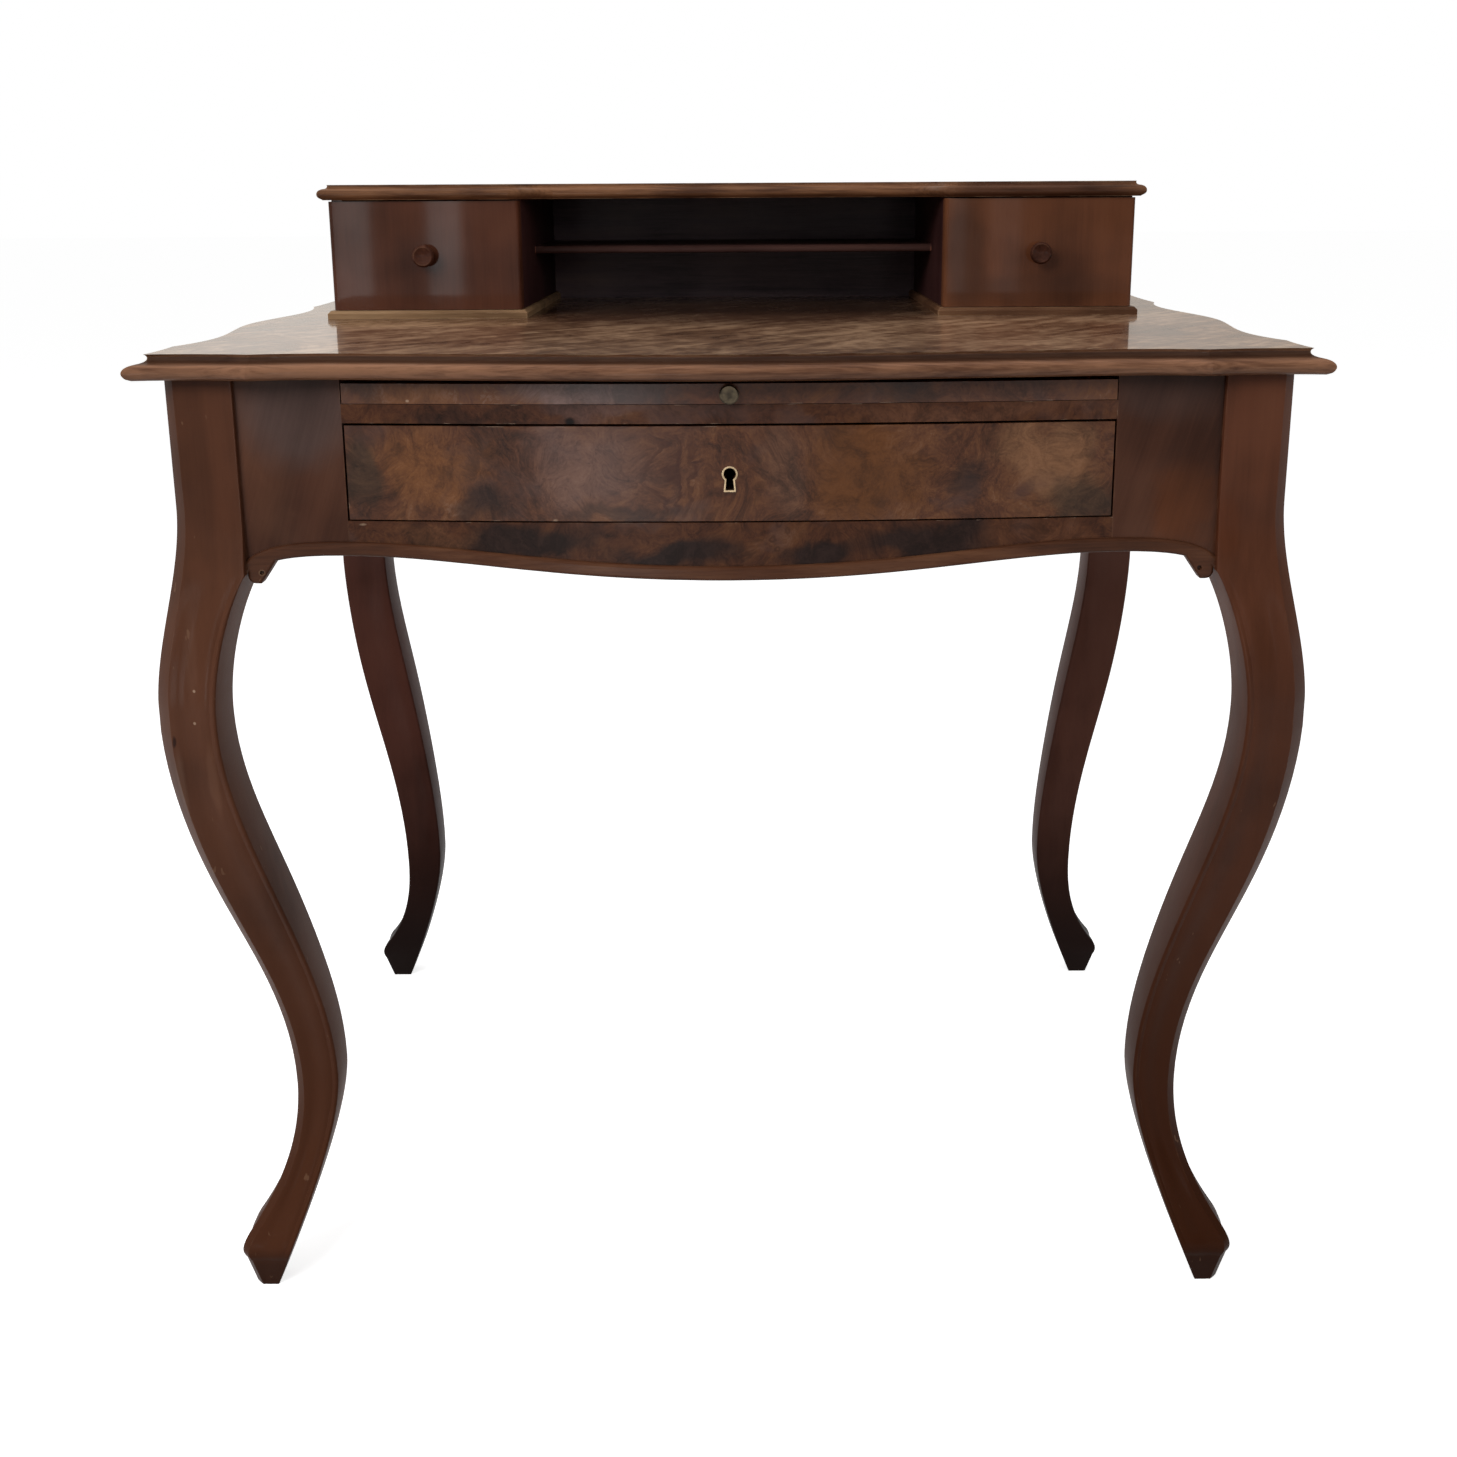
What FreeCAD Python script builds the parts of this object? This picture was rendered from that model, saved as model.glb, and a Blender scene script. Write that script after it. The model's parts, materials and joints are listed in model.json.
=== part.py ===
import FreeCAD
import Part
import math
import os

# Lady's walnut writing desk with a gradin of two small drawers on its rear.
# Millimetres. The origin is on the floor under the middle of the whole desk, +Z is up and the
# front faces -Y. "Left" and "right" are as seen by someone standing in front of the desk.

# Table top
TOP_WIDTH = 854.0
TOP_DEPTH = 619.0
TOP_BOW = 20.0
TOP_THICKNESS = 18.0
TOP_MOULDING = 10.0
WRITING_HEIGHT = 768.5
FRONT_EAR = 88.0
SIDE_EAR = 74.0
REAR_EAR = 137.0
EAR_HOLLOW = 4.0
FRONT_NIB_REACH = 3.0
SIDE_NIB_INSET = 3.0
FRONT_HOLLOW = 2.0
FRONT_HOLLOW_RUN = 24.0
SIDE_HOLLOW = 14.0
SIDE_HOLLOW_RUN = 62.0

# Cabriole legs, with insets measured from the outer face of the square post
POST_SIZE = 50.2
LEG_INSET = 20.3
LEG_INSET_REAR = 9.8
NECK_RISE = 50.0
KNEE_DROP = 103.0
KNEE_THROW = 20.3
KNEE_WIDTH = 45.0
KNEE_INNER_DROP = 8.0
BRACKET_HANDLE_IN = 12.0
BRACKET_HANDLE_DOWN = 20.0
KNEE_HANDLE = 45.0
ANKLE_HEIGHT = 162.0
ANKLE_INSET = 42.8
ANKLE_WIDTH = 33.2
ANKLE_INNER_RISE = 13.0
ANKLE_HANDLE = 47.0
TOE_HEIGHT = 41.0
TOE_INSET = 0.5
TOE_HANDLE_IN = 20.0
TOE_HANDLE_UP = 28.0
TOE_ROUND = 4.5
TOE_BULGE = 2.2
SOLE_INSET = 8.0
SOLE_WIDTH = 19.0
HEEL_HANDLE_IN = 22.0
HEEL_HANDLE_UP = 45.0
LEG_CORNER_RADIUS = 6.0
LEG_ARRIS_RADIUS = 2.0

# Bowed front between the front posts
FACE_RECESS = 4.2
FRONT_BOW = 16.0
FRONT_FLARE = 121.0
PANEL_THICKNESS = 22.0
PANEL_WIDTH = 77.0
SLIDE_OPENING_HEIGHT = 19.2
DIVIDER_THICKNESS = 13.7
DRAWER_OPENING_HEIGHT = 71.9
RAIL_HEIGHT = 25.7
RAIL_DEPTH = 36.0
ARCH_RISE = 14.0
CENTRE_DROP = 17.0
ARCH_OFFSET = 73.0
CENTRE_HANDLE = 130.0
ARCH_HANDLE = 88.0
SPANDREL_HANDLE = 37.0
SPANDREL_END_IN = 13.0
SPANDREL_END_UP = 11.0
BEAD_HEIGHT = 10.5
BEAD_PROUD = 3.5
BEAD_ROUND = 2.4
THUMB_GAP = 0.6
THUMB_DROP = 7.0
THUMB_ROUND = 6.0
THUMB_FOOT = 9.5
THUMB_REACH = 24.0
THUMB_RISE = 14.0
THUMB_DEPTH = 9.0
EYE_INSET = 11.5
EYE_RISE = 1.5
EYE_RADIUS = 1.8
EYE_DEPTH = 2.5

# Side and back aprons
SIDE_APRON_THICKNESS = 20.0
SIDE_BOW = 8.0
SIDE_FLARE = 76.0
SIDE_ARCH_OFFSET = 56.0
SIDE_CENTRE_HANDLE = 70.0
SIDE_ARCH_HANDLE = 52.0
BACK_APRON_THICKNESS = 18.0
BACK_APRON_DEPTH = 128.0

# Runners, guides and blocks inside the carcass
RUNNER_THICKNESS = 15.0
RUNNER_BEARING = 20.0
RUNNER_GUIDE = 24.0
BLOCK_SIZE = 20.0
BLOCK_LENGTH = 44.0
BLOCK_INSET = 84.0
STOP_WIDTH = 32.0
STOP_HEIGHT = 8.0
STOP_INSET = 126.0

# Main drawer
DRAWER_SIDE_GAP = 1.5
DRAWER_TOP_GAP = 1.8
DRAWER_BOTTOM_GAP = 1.2
DRAWER_FRONT_THICKNESS = 18.0
DRAWER_REAR_ROOM = 96.0
DRAWER_SIDE_THICKNESS = 10.0
DRAWER_SIDE_DROP = 10.0
DRAWER_BOTTOM_THICKNESS = 6.0
DRAWER_BOTTOM_LIFT = 11.0
RUNNING_GAP = 0.4

# Lock and keyhole
KEYHOLE_DROP = 34.5
KEYHOLE_RADIUS = 4.5
KEYHOLE_SLOT_LENGTH = 11.8
KEYHOLE_SLOT_TOP = 4.2
KEYHOLE_SLOT_FOOT = 6.4
LINER_RIM = 1.2
LINER_DEPTH = 6.0
LINER_PROUD = 0.5
LOCK_WIDTH = 58.0
LOCK_HEIGHT = 52.0
LOCK_DEPTH = 11.0
LOCK_TOP_GAP = 0.8
BOLT_WIDTH = 24.0
BOLT_THICKNESS = 4.6
BOLT_HEIGHT = 13.0
BOLT_THROW = 7.0
BOLT_GAP = 0.4
BOLT_SETBACK = 3.0
LOCK_SCREW_RADIUS = 1.6
LOCK_SCREW_HEAD = 3.0
LOCK_SCREW_LENGTH = 6.0
LOCK_SCREW_EDGE = 5.5

# Writing slide
SLIDE_TOP_GAP = 4.4
SLIDE_SIDE_GAP = 0.8
SLIDE_FRONT_THICKNESS = 16.0
SLIDE_REAR_ROOM = 223.0
STOP_BATTEN_INSET = 65.2
STOP_BATTEN_DEPTH = 24.0
STOP_BATTEN_HEIGHT = 10.0
BRASS_KNOB_RADIUS = 7.0
BRASS_KNOB_HEAD = 3.6
BRASS_KNOB_CHAMFER = 0.9
BRASS_KNOB_STEM_RADIUS = 2.6
BRASS_KNOB_STANDOFF = 3.0
BRASS_KNOB_TENON = 10.0

# Gradin
GRADIN_INSET = 71.0
GRADIN_DEPTH = 275.0
GRADIN_REAR_INSET = 12.0
GRADIN_HEIGHT = 116.0
GRADIN_TOP_THICKNESS = 13.0
GRADIN_OVERHANG = 7.5
GRADIN_RECESS = 38.0
GRADIN_OGEE_RUN = 34.0
GRADIN_MOULDING = 7.5
GRADIN_SIDE_THICKNESS = 9.0
GRADIN_BACK_THICKNESS = 8.0
GRADIN_FLOOR_THICKNESS = 7.0
SHELF_SETBACK = 105.0
SHELF_HEIGHT = 52.0
SHELF_THICKNESS = 7.0
SHELF_ROUND = 2.8
BASE_PROUD = 5.0
BASE_BEVEL = 2.5
DOWEL_RADIUS = 3.0
DOWEL_LENGTH = 20.0
DOWEL_EDGE = 40.0

# Small drawers
SMALL_FRONT_WIDTH = 168.0
SMALL_FRONT_THICKNESS = 14.0
SMALL_FRONT_ROUND = 3.5
SMALL_FRONT_GAP = 0.6
SMALL_TOP_GAP = 1.2
SMALL_SIDE_GAP = 1.0
SMALL_WALL = 6.0
SMALL_SIDE_DROP = 14.4
SMALL_BOTTOM_THICKNESS = 4.0
SMALL_BOTTOM_LIFT = 3.0
SMALL_REAR_GAP = 8.0
KNOB_RADIUS = 9.6
KNOB_NECK_RADIUS = 4.4
KNOB_FOOT_RADIUS = 5.8
KNOB_FOOT_LENGTH = 2.0
KNOB_NECK_LENGTH = 7.0
KNOB_HEAD_LENGTH = 6.0
KNOB_LIP = 1.8
KNOB_DISH = 1.8
KNOB_TENON_RADIUS = 3.4
KNOB_TENON_LENGTH = 10.0

# Places that follow from the sizes above
HALF_TOP = TOP_WIDTH / 2
REAR_KNEE_OVERHANG = max(0.0, KNEE_THROW - LEG_INSET_REAR)
OVERALL_DEPTH = TOP_BOW + TOP_DEPTH + REAR_KNEE_OVERHANG
EAR_Y = TOP_BOW - OVERALL_DEPTH / 2
REAR_Y = EAR_Y + TOP_DEPTH
UNDER_TOP = WRITING_HEIGHT - TOP_THICKNESS
SLIDE_OPENING_BOTTOM = UNDER_TOP - SLIDE_OPENING_HEIGHT
DRAWER_OPENING_TOP = SLIDE_OPENING_BOTTOM - DIVIDER_THICKNESS
DRAWER_OPENING_BOTTOM = DRAWER_OPENING_TOP - DRAWER_OPENING_HEIGHT
ARCH_HEIGHT = DRAWER_OPENING_BOTTOM - RAIL_HEIGHT
CENTRE_HEIGHT = ARCH_HEIGHT - CENTRE_DROP
BRACKET_HEIGHT = ARCH_HEIGHT - ARCH_RISE
NECK_HEIGHT = BRACKET_HEIGHT + NECK_RISE
KNEE_HEIGHT = BRACKET_HEIGHT - KNEE_DROP
POST_X = HALF_TOP - LEG_INSET
POST_FRONT_Y = EAR_Y + LEG_INSET
POST_REAR_Y = REAR_Y - LEG_INSET_REAR
INNER_POST_X = POST_X - POST_SIZE
FACE_Y = POST_FRONT_Y + FACE_RECESS
HALF_OPENING = INNER_POST_X - PANEL_WIDTH
BACK_APRON_Y = POST_REAR_Y - FACE_RECESS - BACK_APRON_THICKNESS
SIDE_MIDDLE_Y = (POST_FRONT_Y + POST_REAR_Y) / 2
SIDE_HALF_SPAN = (POST_REAR_Y - POST_FRONT_Y) / 2 - POST_SIZE
SIDE_FACE_X = POST_X - FACE_RECESS
DRAWER_BACK_OF_FRONT = FACE_Y + DRAWER_FRONT_THICKNESS
DRAWER_END_Y = BACK_APRON_Y - DRAWER_REAR_ROOM
DRAWER_HALF = HALF_OPENING - DRAWER_SIDE_GAP
DRAWER_TOP = DRAWER_OPENING_TOP - DRAWER_TOP_GAP
DRAWER_FOOT = DRAWER_OPENING_BOTTOM + DRAWER_BOTTOM_GAP
DRAWER_SIDE_FOOT = DRAWER_OPENING_BOTTOM + RUNNING_GAP
DRAWER_FLOOR_TOP = DRAWER_SIDE_FOOT + DRAWER_BOTTOM_LIFT + DRAWER_BOTTOM_THICKNESS
KEYHOLE_HEIGHT = DRAWER_TOP - KEYHOLE_DROP
LOCK_TOP = DRAWER_TOP - LOCK_TOP_GAP
LOCK_FRONT_Y = DRAWER_BACK_OF_FRONT - LOCK_DEPTH
BOLT_FRONT_Y = LOCK_FRONT_Y + BOLT_SETBACK
SLIDE_FOOT = SLIDE_OPENING_BOTTOM + RUNNING_GAP
SLIDE_TOP = UNDER_TOP - SLIDE_TOP_GAP
SLIDE_HALF = HALF_OPENING - SLIDE_SIDE_GAP
SLIDE_PANEL_Y = FACE_Y + SLIDE_FRONT_THICKNESS
SLIDE_END_Y = BACK_APRON_Y - SLIDE_REAR_ROOM
SLIDE_MIDDLE = (SLIDE_FOOT + SLIDE_TOP) / 2
RAIL_BACK_Y = FACE_Y + RAIL_DEPTH
GRADIN_REAR_Y = REAR_Y - GRADIN_REAR_INSET
GRADIN_FRONT_Y = GRADIN_REAR_Y - GRADIN_DEPTH
GRADIN_BACK_Y = GRADIN_REAR_Y - GRADIN_BACK_THICKNESS
GRADIN_SIDE_Y = GRADIN_FRONT_Y + SMALL_FRONT_THICKNESS + SMALL_FRONT_GAP
GRADIN_UNDER_TOP = WRITING_HEIGHT + GRADIN_HEIGHT - GRADIN_TOP_THICKNESS
HALF_GRADIN = HALF_TOP - GRADIN_INSET
HALF_BAY = HALF_GRADIN - SMALL_FRONT_WIDTH
SMALL_FLOOR = WRITING_HEIGHT + GRADIN_FLOOR_THICKNESS
SMALL_FOOT = SMALL_FLOOR + RUNNING_GAP
SMALL_TOP = GRADIN_UNDER_TOP - SMALL_TOP_GAP
SMALL_END_Y = GRADIN_BACK_Y - SMALL_REAR_GAP
SMALL_INNER_X = HALF_BAY + GRADIN_SIDE_THICKNESS + SMALL_SIDE_GAP
SMALL_OUTER_X = HALF_GRADIN - GRADIN_SIDE_THICKNESS - SMALL_SIDE_GAP
SMALL_MIDDLE_X = (HALF_BAY + HALF_GRADIN) / 2
SMALL_MIDDLE_Z = (SMALL_FOOT + SMALL_TOP) / 2

# Edge of the table top from its underside up: inset and height as shares of moulding and thickness
TOP_EDGE = [(0.41, 0.0), (0.13, 0.11), (0.0, 0.305), (0.13, 0.50), (0.41, 0.60), (0.72, 0.645),
            (0.98, 0.70), (1.12, 0.78), (1.15, 0.865), (1.10, 0.945), (1.0, 1.0)]

# Edge of the gradin's top board, in the same way
GRADIN_EDGE = [(0.55, 0.0), (0.13, 0.18), (0.0, 0.385), (0.13, 0.59), (0.41, 0.70),
               (0.72, 0.745), (0.96, 0.80), (1.05, 0.89), (1.0, 1.0)]

Vec = FreeCAD.Vector
UP = Vec(0, 0, 1)
AHEAD = Vec(0, -1, 0)
TOUCH = 0.05


def box(x0, x1, y0, y1, z0, z1):
    """Box between two corners."""
    return Part.makeBox(x1 - x0, y1 - y0, z1 - z0, Vec(x0, y0, z0))


def mirrored(shape):
    """The same piece on the other side of the desk."""
    return shape.mirror(Vec(0, 0, 0), Vec(1, 0, 0))


def both_sides(shape):
    """Left and right copies of a piece drawn on the right."""
    return {"left": mirrored(shape), "right": shape}


def rod(radius, length, base, direction):
    """Round rod from base along direction."""
    return Part.makeCylinder(radius, length, base, direction)


def line(a, b):
    """Straight edge."""
    return Part.makeLine(a, b)


def bezier(*poles):
    """Smooth edge with the given poles."""
    curve = Part.BezierCurve()
    curve.setPoles(list(poles))
    return curve.toShape()


def arc(a, through, b):
    """Round edge through three points."""
    return Part.Arc(a, through, b).toShape()


def lines(points):
    """Straight edges from each point to the next."""
    return [line(a, b) for a, b in zip(points, points[1:])]


def face_of(edges):
    """Flat face inside a closed run of edges."""
    return Part.Face(Part.Wire(edges))


class Outline:
    """Closed outline in plan, made of smooth stretches that meet at corners."""

    def __init__(self, stretches, moulded):
        self.moulded = moulded
        self.points = [[Vec(x, y, 0) for x, y in stretch] for stretch in stretches]
        self.normals = [self.inward_normals(points) for points in self.points]

    @staticmethod
    def spline(points):
        """Curve through the points of one stretch."""
        curve = Part.BSplineCurve()
        curve.interpolate(points)
        return curve

    @classmethod
    def inward_normals(cls, points):
        """Unit normals at the points, to the left of the way round."""
        curve = cls.spline(points)
        tangents = [curve.tangent(curve.parameter(point))[0] for point in points]
        return [Vec(-t.y, t.x, 0).normalize() for t in tangents]

    def corner(self, index, inset):
        """Corner at the start of a stretch, moved in by the insets of the stretches beside it."""
        before = self.normals[index - 1][-1]
        after = self.normals[index][0]
        inset_before = inset * self.moulded[index - 1]
        inset_after = inset * self.moulded[index]
        cosine = before.dot(after)
        share = 1 - cosine ** 2
        move = before * ((inset_before - inset_after * cosine) / share)
        move = move + after * ((inset_after - inset_before * cosine) / share)
        return self.points[index][0] + move

    def wire(self, inset, z):
        """The outline moved in by an inset, at height z."""
        lift = Vec(0, 0, z)
        count = len(self.points)
        corners = [self.corner(index, inset) for index in range(count)]
        edges = []
        for index, points in enumerate(self.points):
            reach = inset * self.moulded[index]
            middle = [p + n * reach for p, n in zip(points[1:-1], self.normals[index][1:-1])]
            run = [corners[index]] + middle + [corners[(index + 1) % count]]
            edges.append(self.spline([point + lift for point in run]).toShape())
        return Part.Wire(edges)

    def board(self, foot, thickness, moulding, profile):
        """Board with a moulded edge."""
        wires = [self.wire(moulding * share, foot + thickness * rise) for share, rise in profile]
        return Part.makeLoft(wires, True, False)


class BowedFace:
    """Serpentine face in plan: bowed out in the middle and hollow towards its ends."""

    def __init__(self, half_span, face_y, bow, turn):
        angle = 2 * math.atan(bow / half_span)
        self.half_span = half_span
        self.face_y = face_y
        self.turn = turn
        self.outer_radius = turn / math.sin(angle)
        self.hollow_radius = (half_span - turn) / math.sin(angle)
        self.middle_y = face_y - bow + self.outer_radius

    def y(self, x, proud=0.0):
        """Place of the face at x, grown outward by proud."""
        across = abs(x)
        turn = self.turn * (self.outer_radius + proud) / self.outer_radius
        if across <= turn:
            return self.middle_y - math.sqrt((self.outer_radius + proud) ** 2 - across ** 2)
        reach = math.sqrt((self.hollow_radius - proud) ** 2 - (self.half_span - across) ** 2)
        return self.face_y - self.hollow_radius + reach

    def edges(self, proud, z):
        """Arcs along the face from its left end to its right end."""
        turn = self.turn * (self.outer_radius + proud) / self.outer_radius
        between = (turn + self.half_span) / 2
        runs = [(-self.half_span, -between, -turn), (-turn, 0, turn), (turn, between, self.half_span)]
        return [arc(*[Vec(x, self.y(x, proud), z) for x in run]) for run in runs]

    def solid(self, x0, x1, back_y, z0, z1, proud=0.0):
        """Piece of the front with a flat back."""
        edges = self.edges(proud, z0)
        left = Vec(-self.half_span, self.y(self.half_span, proud), z0)
        right = Vec(self.half_span, left.y, z0)
        left_back = Vec(left.x, back_y, z0)
        right_back = Vec(right.x, back_y, z0)
        edges += [line(right, right_back), line(right_back, left_back), line(left_back, left)]
        whole = face_of(edges).extrude(UP * (z1 - z0))
        reach = 2 * abs(self.face_y) + 2 * self.half_span
        return whole.common(box(x0, x1, -reach, reach, z0, z1))

    def strip(self, z0, z1, proud, behind):
        """Thin skin that follows the face from behind it to proud of it."""
        front = self.edges(proud, z0)
        back = self.edges(-behind, z0)
        ends = [line(front[0].firstVertex().Point, back[0].firstVertex().Point),
                line(front[-1].lastVertex().Point, back[-1].lastVertex().Point)]
        wire = Part.Wire(Part.__sortEdges__(front + back + ends))
        return Part.Face(wire).extrude(UP * (z1 - z0))


class LowerEdge:
    """Shaped lower edge of an apron: a drop in the middle, two arches and ends at the posts."""

    def __init__(self, half_span, arch_offset, centre_handle, arch_handle):
        arch_x = half_span - arch_offset
        self.half_span = half_span
        self.right = [(0, CENTRE_HEIGHT), (centre_handle, CENTRE_HEIGHT),
                      (arch_x - arch_handle, ARCH_HEIGHT), (arch_x, ARCH_HEIGHT),
                      (arch_x + SPANDREL_HANDLE, ARCH_HEIGHT),
                      (half_span - SPANDREL_END_IN, BRACKET_HEIGHT + SPANDREL_END_UP),
                      (half_span, BRACKET_HEIGHT)]

    def edges(self, lift, y):
        """Edges from the left end to the right end, raised by lift."""
        right = [Vec(x, y, z + lift) for x, z in self.right]
        left = [Vec(-x, y, z + lift) for x, z in self.right]
        return [bezier(*left[6:2:-1]), bezier(*left[3::-1]), bezier(*right[:4]), bezier(*right[3:])]

    def above(self, top, y0, y1):
        """Solid from the lower edge up to a flat top."""
        left = Vec(-self.half_span, y0, BRACKET_HEIGHT)
        right = Vec(self.half_span, y0, BRACKET_HEIGHT)
        left_top = Vec(left.x, y0, top)
        right_top = Vec(right.x, y0, top)
        edges = self.edges(0, y0) + [line(right, right_top), line(right_top, left_top), line(left_top, left)]
        return face_of(edges).extrude(Vec(0, y1 - y0, 0))

    def band(self, height, y0, y1):
        """Solid band of even height along the lower edge."""
        lower = self.edges(0, y0)
        upper = self.edges(height, y0)
        ends = [line(Vec(side, y0, BRACKET_HEIGHT), Vec(side, y0, BRACKET_HEIGHT + height))
                for side in (-self.half_span, self.half_span)]
        wire = Part.Wire(Part.__sortEdges__(lower + upper + ends))
        return Part.Face(wire).extrude(Vec(0, y1 - y0, 0))


FRONT = BowedFace(INNER_POST_X, FACE_Y, FRONT_BOW, INNER_POST_X - FRONT_FLARE)
FRONT_EDGE = LowerEdge(INNER_POST_X, ARCH_OFFSET, CENTRE_HANDLE, ARCH_HANDLE)
SIDE = BowedFace(SIDE_HALF_SPAN, -SIDE_FACE_X, SIDE_BOW, SIDE_HALF_SPAN - SIDE_FLARE)
SIDE_EDGE = LowerEdge(SIDE_HALF_SPAN, SIDE_ARCH_OFFSET, SIDE_CENTRE_HANDLE, SIDE_ARCH_HANDLE)


def table_top_outline():
    """Outline of the table top, anticlockwise from the left end of its front."""
    nib_x = HALF_TOP - FRONT_EAR
    nib_y = EAR_Y - FRONT_NIB_REACH
    hollow_x = nib_x - FRONT_HOLLOW_RUN
    hollow_y = EAR_Y + FRONT_HOLLOW
    side_nib_x = HALF_TOP - SIDE_NIB_INSET
    front_nib_y = EAR_Y + SIDE_EAR
    rear_nib_y = REAR_Y - REAR_EAR
    hollow_side_x = HALF_TOP - SIDE_HOLLOW
    middle_y = (front_nib_y + rear_nib_y) / 2

    def bow(share):
        """Point on the front's bow at a share of the way from the middle to the hollow."""
        rise = (TOP_BOW + FRONT_HOLLOW) * (1 + math.cos(math.pi * share)) / 2
        return hollow_x * share, hollow_y - rise

    shares = (-1, -0.75, -0.5, -0.25, 0, 0.25, 0.5, 0.75, 1)
    front = [(-nib_x, nib_y)] + [bow(share) for share in shares] + [(nib_x, nib_y)]
    ear_front = [(nib_x, nib_y), ((nib_x + HALF_TOP) / 2, EAR_Y + EAR_HOLLOW), (HALF_TOP, EAR_Y)]
    ear_side = [(HALF_TOP, EAR_Y), (HALF_TOP - EAR_HOLLOW, EAR_Y + SIDE_EAR / 2), (side_nib_x, front_nib_y)]
    side = [(side_nib_x, front_nib_y), (hollow_side_x, front_nib_y + SIDE_HOLLOW_RUN),
            (HALF_TOP, middle_y), (hollow_side_x, rear_nib_y - SIDE_HOLLOW_RUN), (side_nib_x, rear_nib_y)]
    ear_rear = [(side_nib_x, rear_nib_y), (HALF_TOP - EAR_HOLLOW, REAR_Y - REAR_EAR / 2), (HALF_TOP, REAR_Y)]
    right = [ear_front, ear_side, side, ear_rear]
    left = [[(-x, y) for x, y in reversed(stretch)] for stretch in reversed(right)]
    rear = [(HALF_TOP, REAR_Y), (0, REAR_Y), (-HALF_TOP, REAR_Y)]
    moulded = [1] * 5 + [0] + [1] * 4
    return Outline([front] + right + [rear] + left, moulded)


def gradin_outline():
    """Outline of the gradin's top board, anticlockwise from the left of its recessed middle."""
    outer = HALF_GRADIN + GRADIN_OVERHANG
    front_y = GRADIN_FRONT_Y - GRADIN_OVERHANG
    recess_y = front_y + GRADIN_RECESS
    step_x = HALF_BAY + GRADIN_OVERHANG
    recess_x = step_x - GRADIN_OGEE_RUN
    middle = [(-recess_x, recess_y), (0, recess_y), (recess_x, recess_y)]
    quarter = GRADIN_OGEE_RUN / 4
    ogee = [(recess_x, recess_y), (recess_x + quarter, recess_y - GRADIN_RECESS / 8),
            ((recess_x + step_x) / 2, (recess_y + front_y) / 2),
            (step_x - quarter, front_y + GRADIN_RECESS / 8), (step_x, front_y)]
    front = [(step_x, front_y), ((step_x + outer) / 2, front_y), (outer, front_y)]
    end = [(outer, front_y), (outer, (front_y + GRADIN_REAR_Y) / 2), (outer, GRADIN_REAR_Y)]
    right = [ogee, front, end]
    left = [[(-x, y) for x, y in reversed(stretch)] for stretch in reversed(right)]
    rear = [(outer, GRADIN_REAR_Y), (0, GRADIN_REAR_Y), (-outer, GRADIN_REAR_Y)]
    return Outline([middle] + right + [rear] + left, [1] * 4 + [0] + [1] * 3)


def leg_outline(place):
    """Sawn outline of a leg seen square on; place turns inset and height into a point."""
    knee_inner = KNEE_WIDTH - KNEE_THROW
    ankle_inner = ANKLE_INSET + ANKLE_WIDTH
    heel = SOLE_INSET + SOLE_WIDTH
    knee_inner_z = KNEE_HEIGHT - KNEE_INNER_DROP
    ankle_inner_z = ANKLE_HEIGHT + ANKLE_INNER_RISE
    toe_foot = TOE_HEIGHT - 2 * TOE_ROUND

    def s_curve(a, b):
        """Curve that leaves and arrives upright."""
        third = (b[1] - a[1]) / 3
        return bezier(place(*a), place(a[0], a[1] + third), place(b[0], b[1] - third), place(*b))

    top_outer = place(0, UNDER_TOP)
    top_inner = place(POST_SIZE, UNDER_TOP)
    bracket = place(POST_SIZE, BRACKET_HEIGHT)
    toe = place(TOE_INSET, TOE_HEIGHT)
    under_toe = place(TOE_INSET - TOE_BULGE / 2, toe_foot)
    return [
        line(top_outer, place(0, NECK_HEIGHT)),
        s_curve((0, NECK_HEIGHT), (-KNEE_THROW, KNEE_HEIGHT)),
        s_curve((-KNEE_THROW, KNEE_HEIGHT), (ANKLE_INSET, ANKLE_HEIGHT)),
        bezier(place(ANKLE_INSET, ANKLE_HEIGHT), place(ANKLE_INSET, ANKLE_HEIGHT - ANKLE_HANDLE),
               place(TOE_INSET + TOE_HANDLE_IN, TOE_HEIGHT + TOE_HANDLE_UP), toe),
        arc(toe, place(TOE_INSET - TOE_BULGE, TOE_HEIGHT - TOE_ROUND), under_toe),
        line(under_toe, place(SOLE_INSET, 0)),
        line(place(SOLE_INSET, 0), place(heel, 0)),
        bezier(place(heel, 0), place(heel + HEEL_HANDLE_IN, HEEL_HANDLE_UP),
               place(ankle_inner, ankle_inner_z - ANKLE_HANDLE), place(ankle_inner, ankle_inner_z)),
        s_curve((ankle_inner, ankle_inner_z), (knee_inner, knee_inner_z)),
        bezier(place(knee_inner, knee_inner_z), place(knee_inner, knee_inner_z + KNEE_HANDLE),
               place(POST_SIZE - BRACKET_HANDLE_IN, BRACKET_HEIGHT - BRACKET_HANDLE_DOWN), bracket),
        line(bracket, top_inner),
        line(top_inner, top_outer),
    ]


def middle_of(edge):
    """Point half way along an edge."""
    return edge.valueAt((edge.FirstParameter + edge.LastParameter) / 2)


def corner_edges(leg, out_x, out_y, top):
    """Long edges below top on the corner of a leg that faces out_x and out_y."""
    found = []
    for edge in leg.Edges:
        heights = [vertex.Z for vertex in edge.Vertexes]
        upright = max(heights) - min(heights) > TOUCH
        middle = middle_of(edge)
        on_diagonal = abs(middle.x - middle.y) < TOUCH
        inside = middle - Vec(out_x, out_y, 0) * LEG_ARRIS_RADIUS
        wanted = on_diagonal == (out_x == out_y) and leg.isInside(inside, TOUCH, False)
        if wanted and upright and max(heights) < top + TOUCH:
            found.append(edge)
    return found


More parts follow.
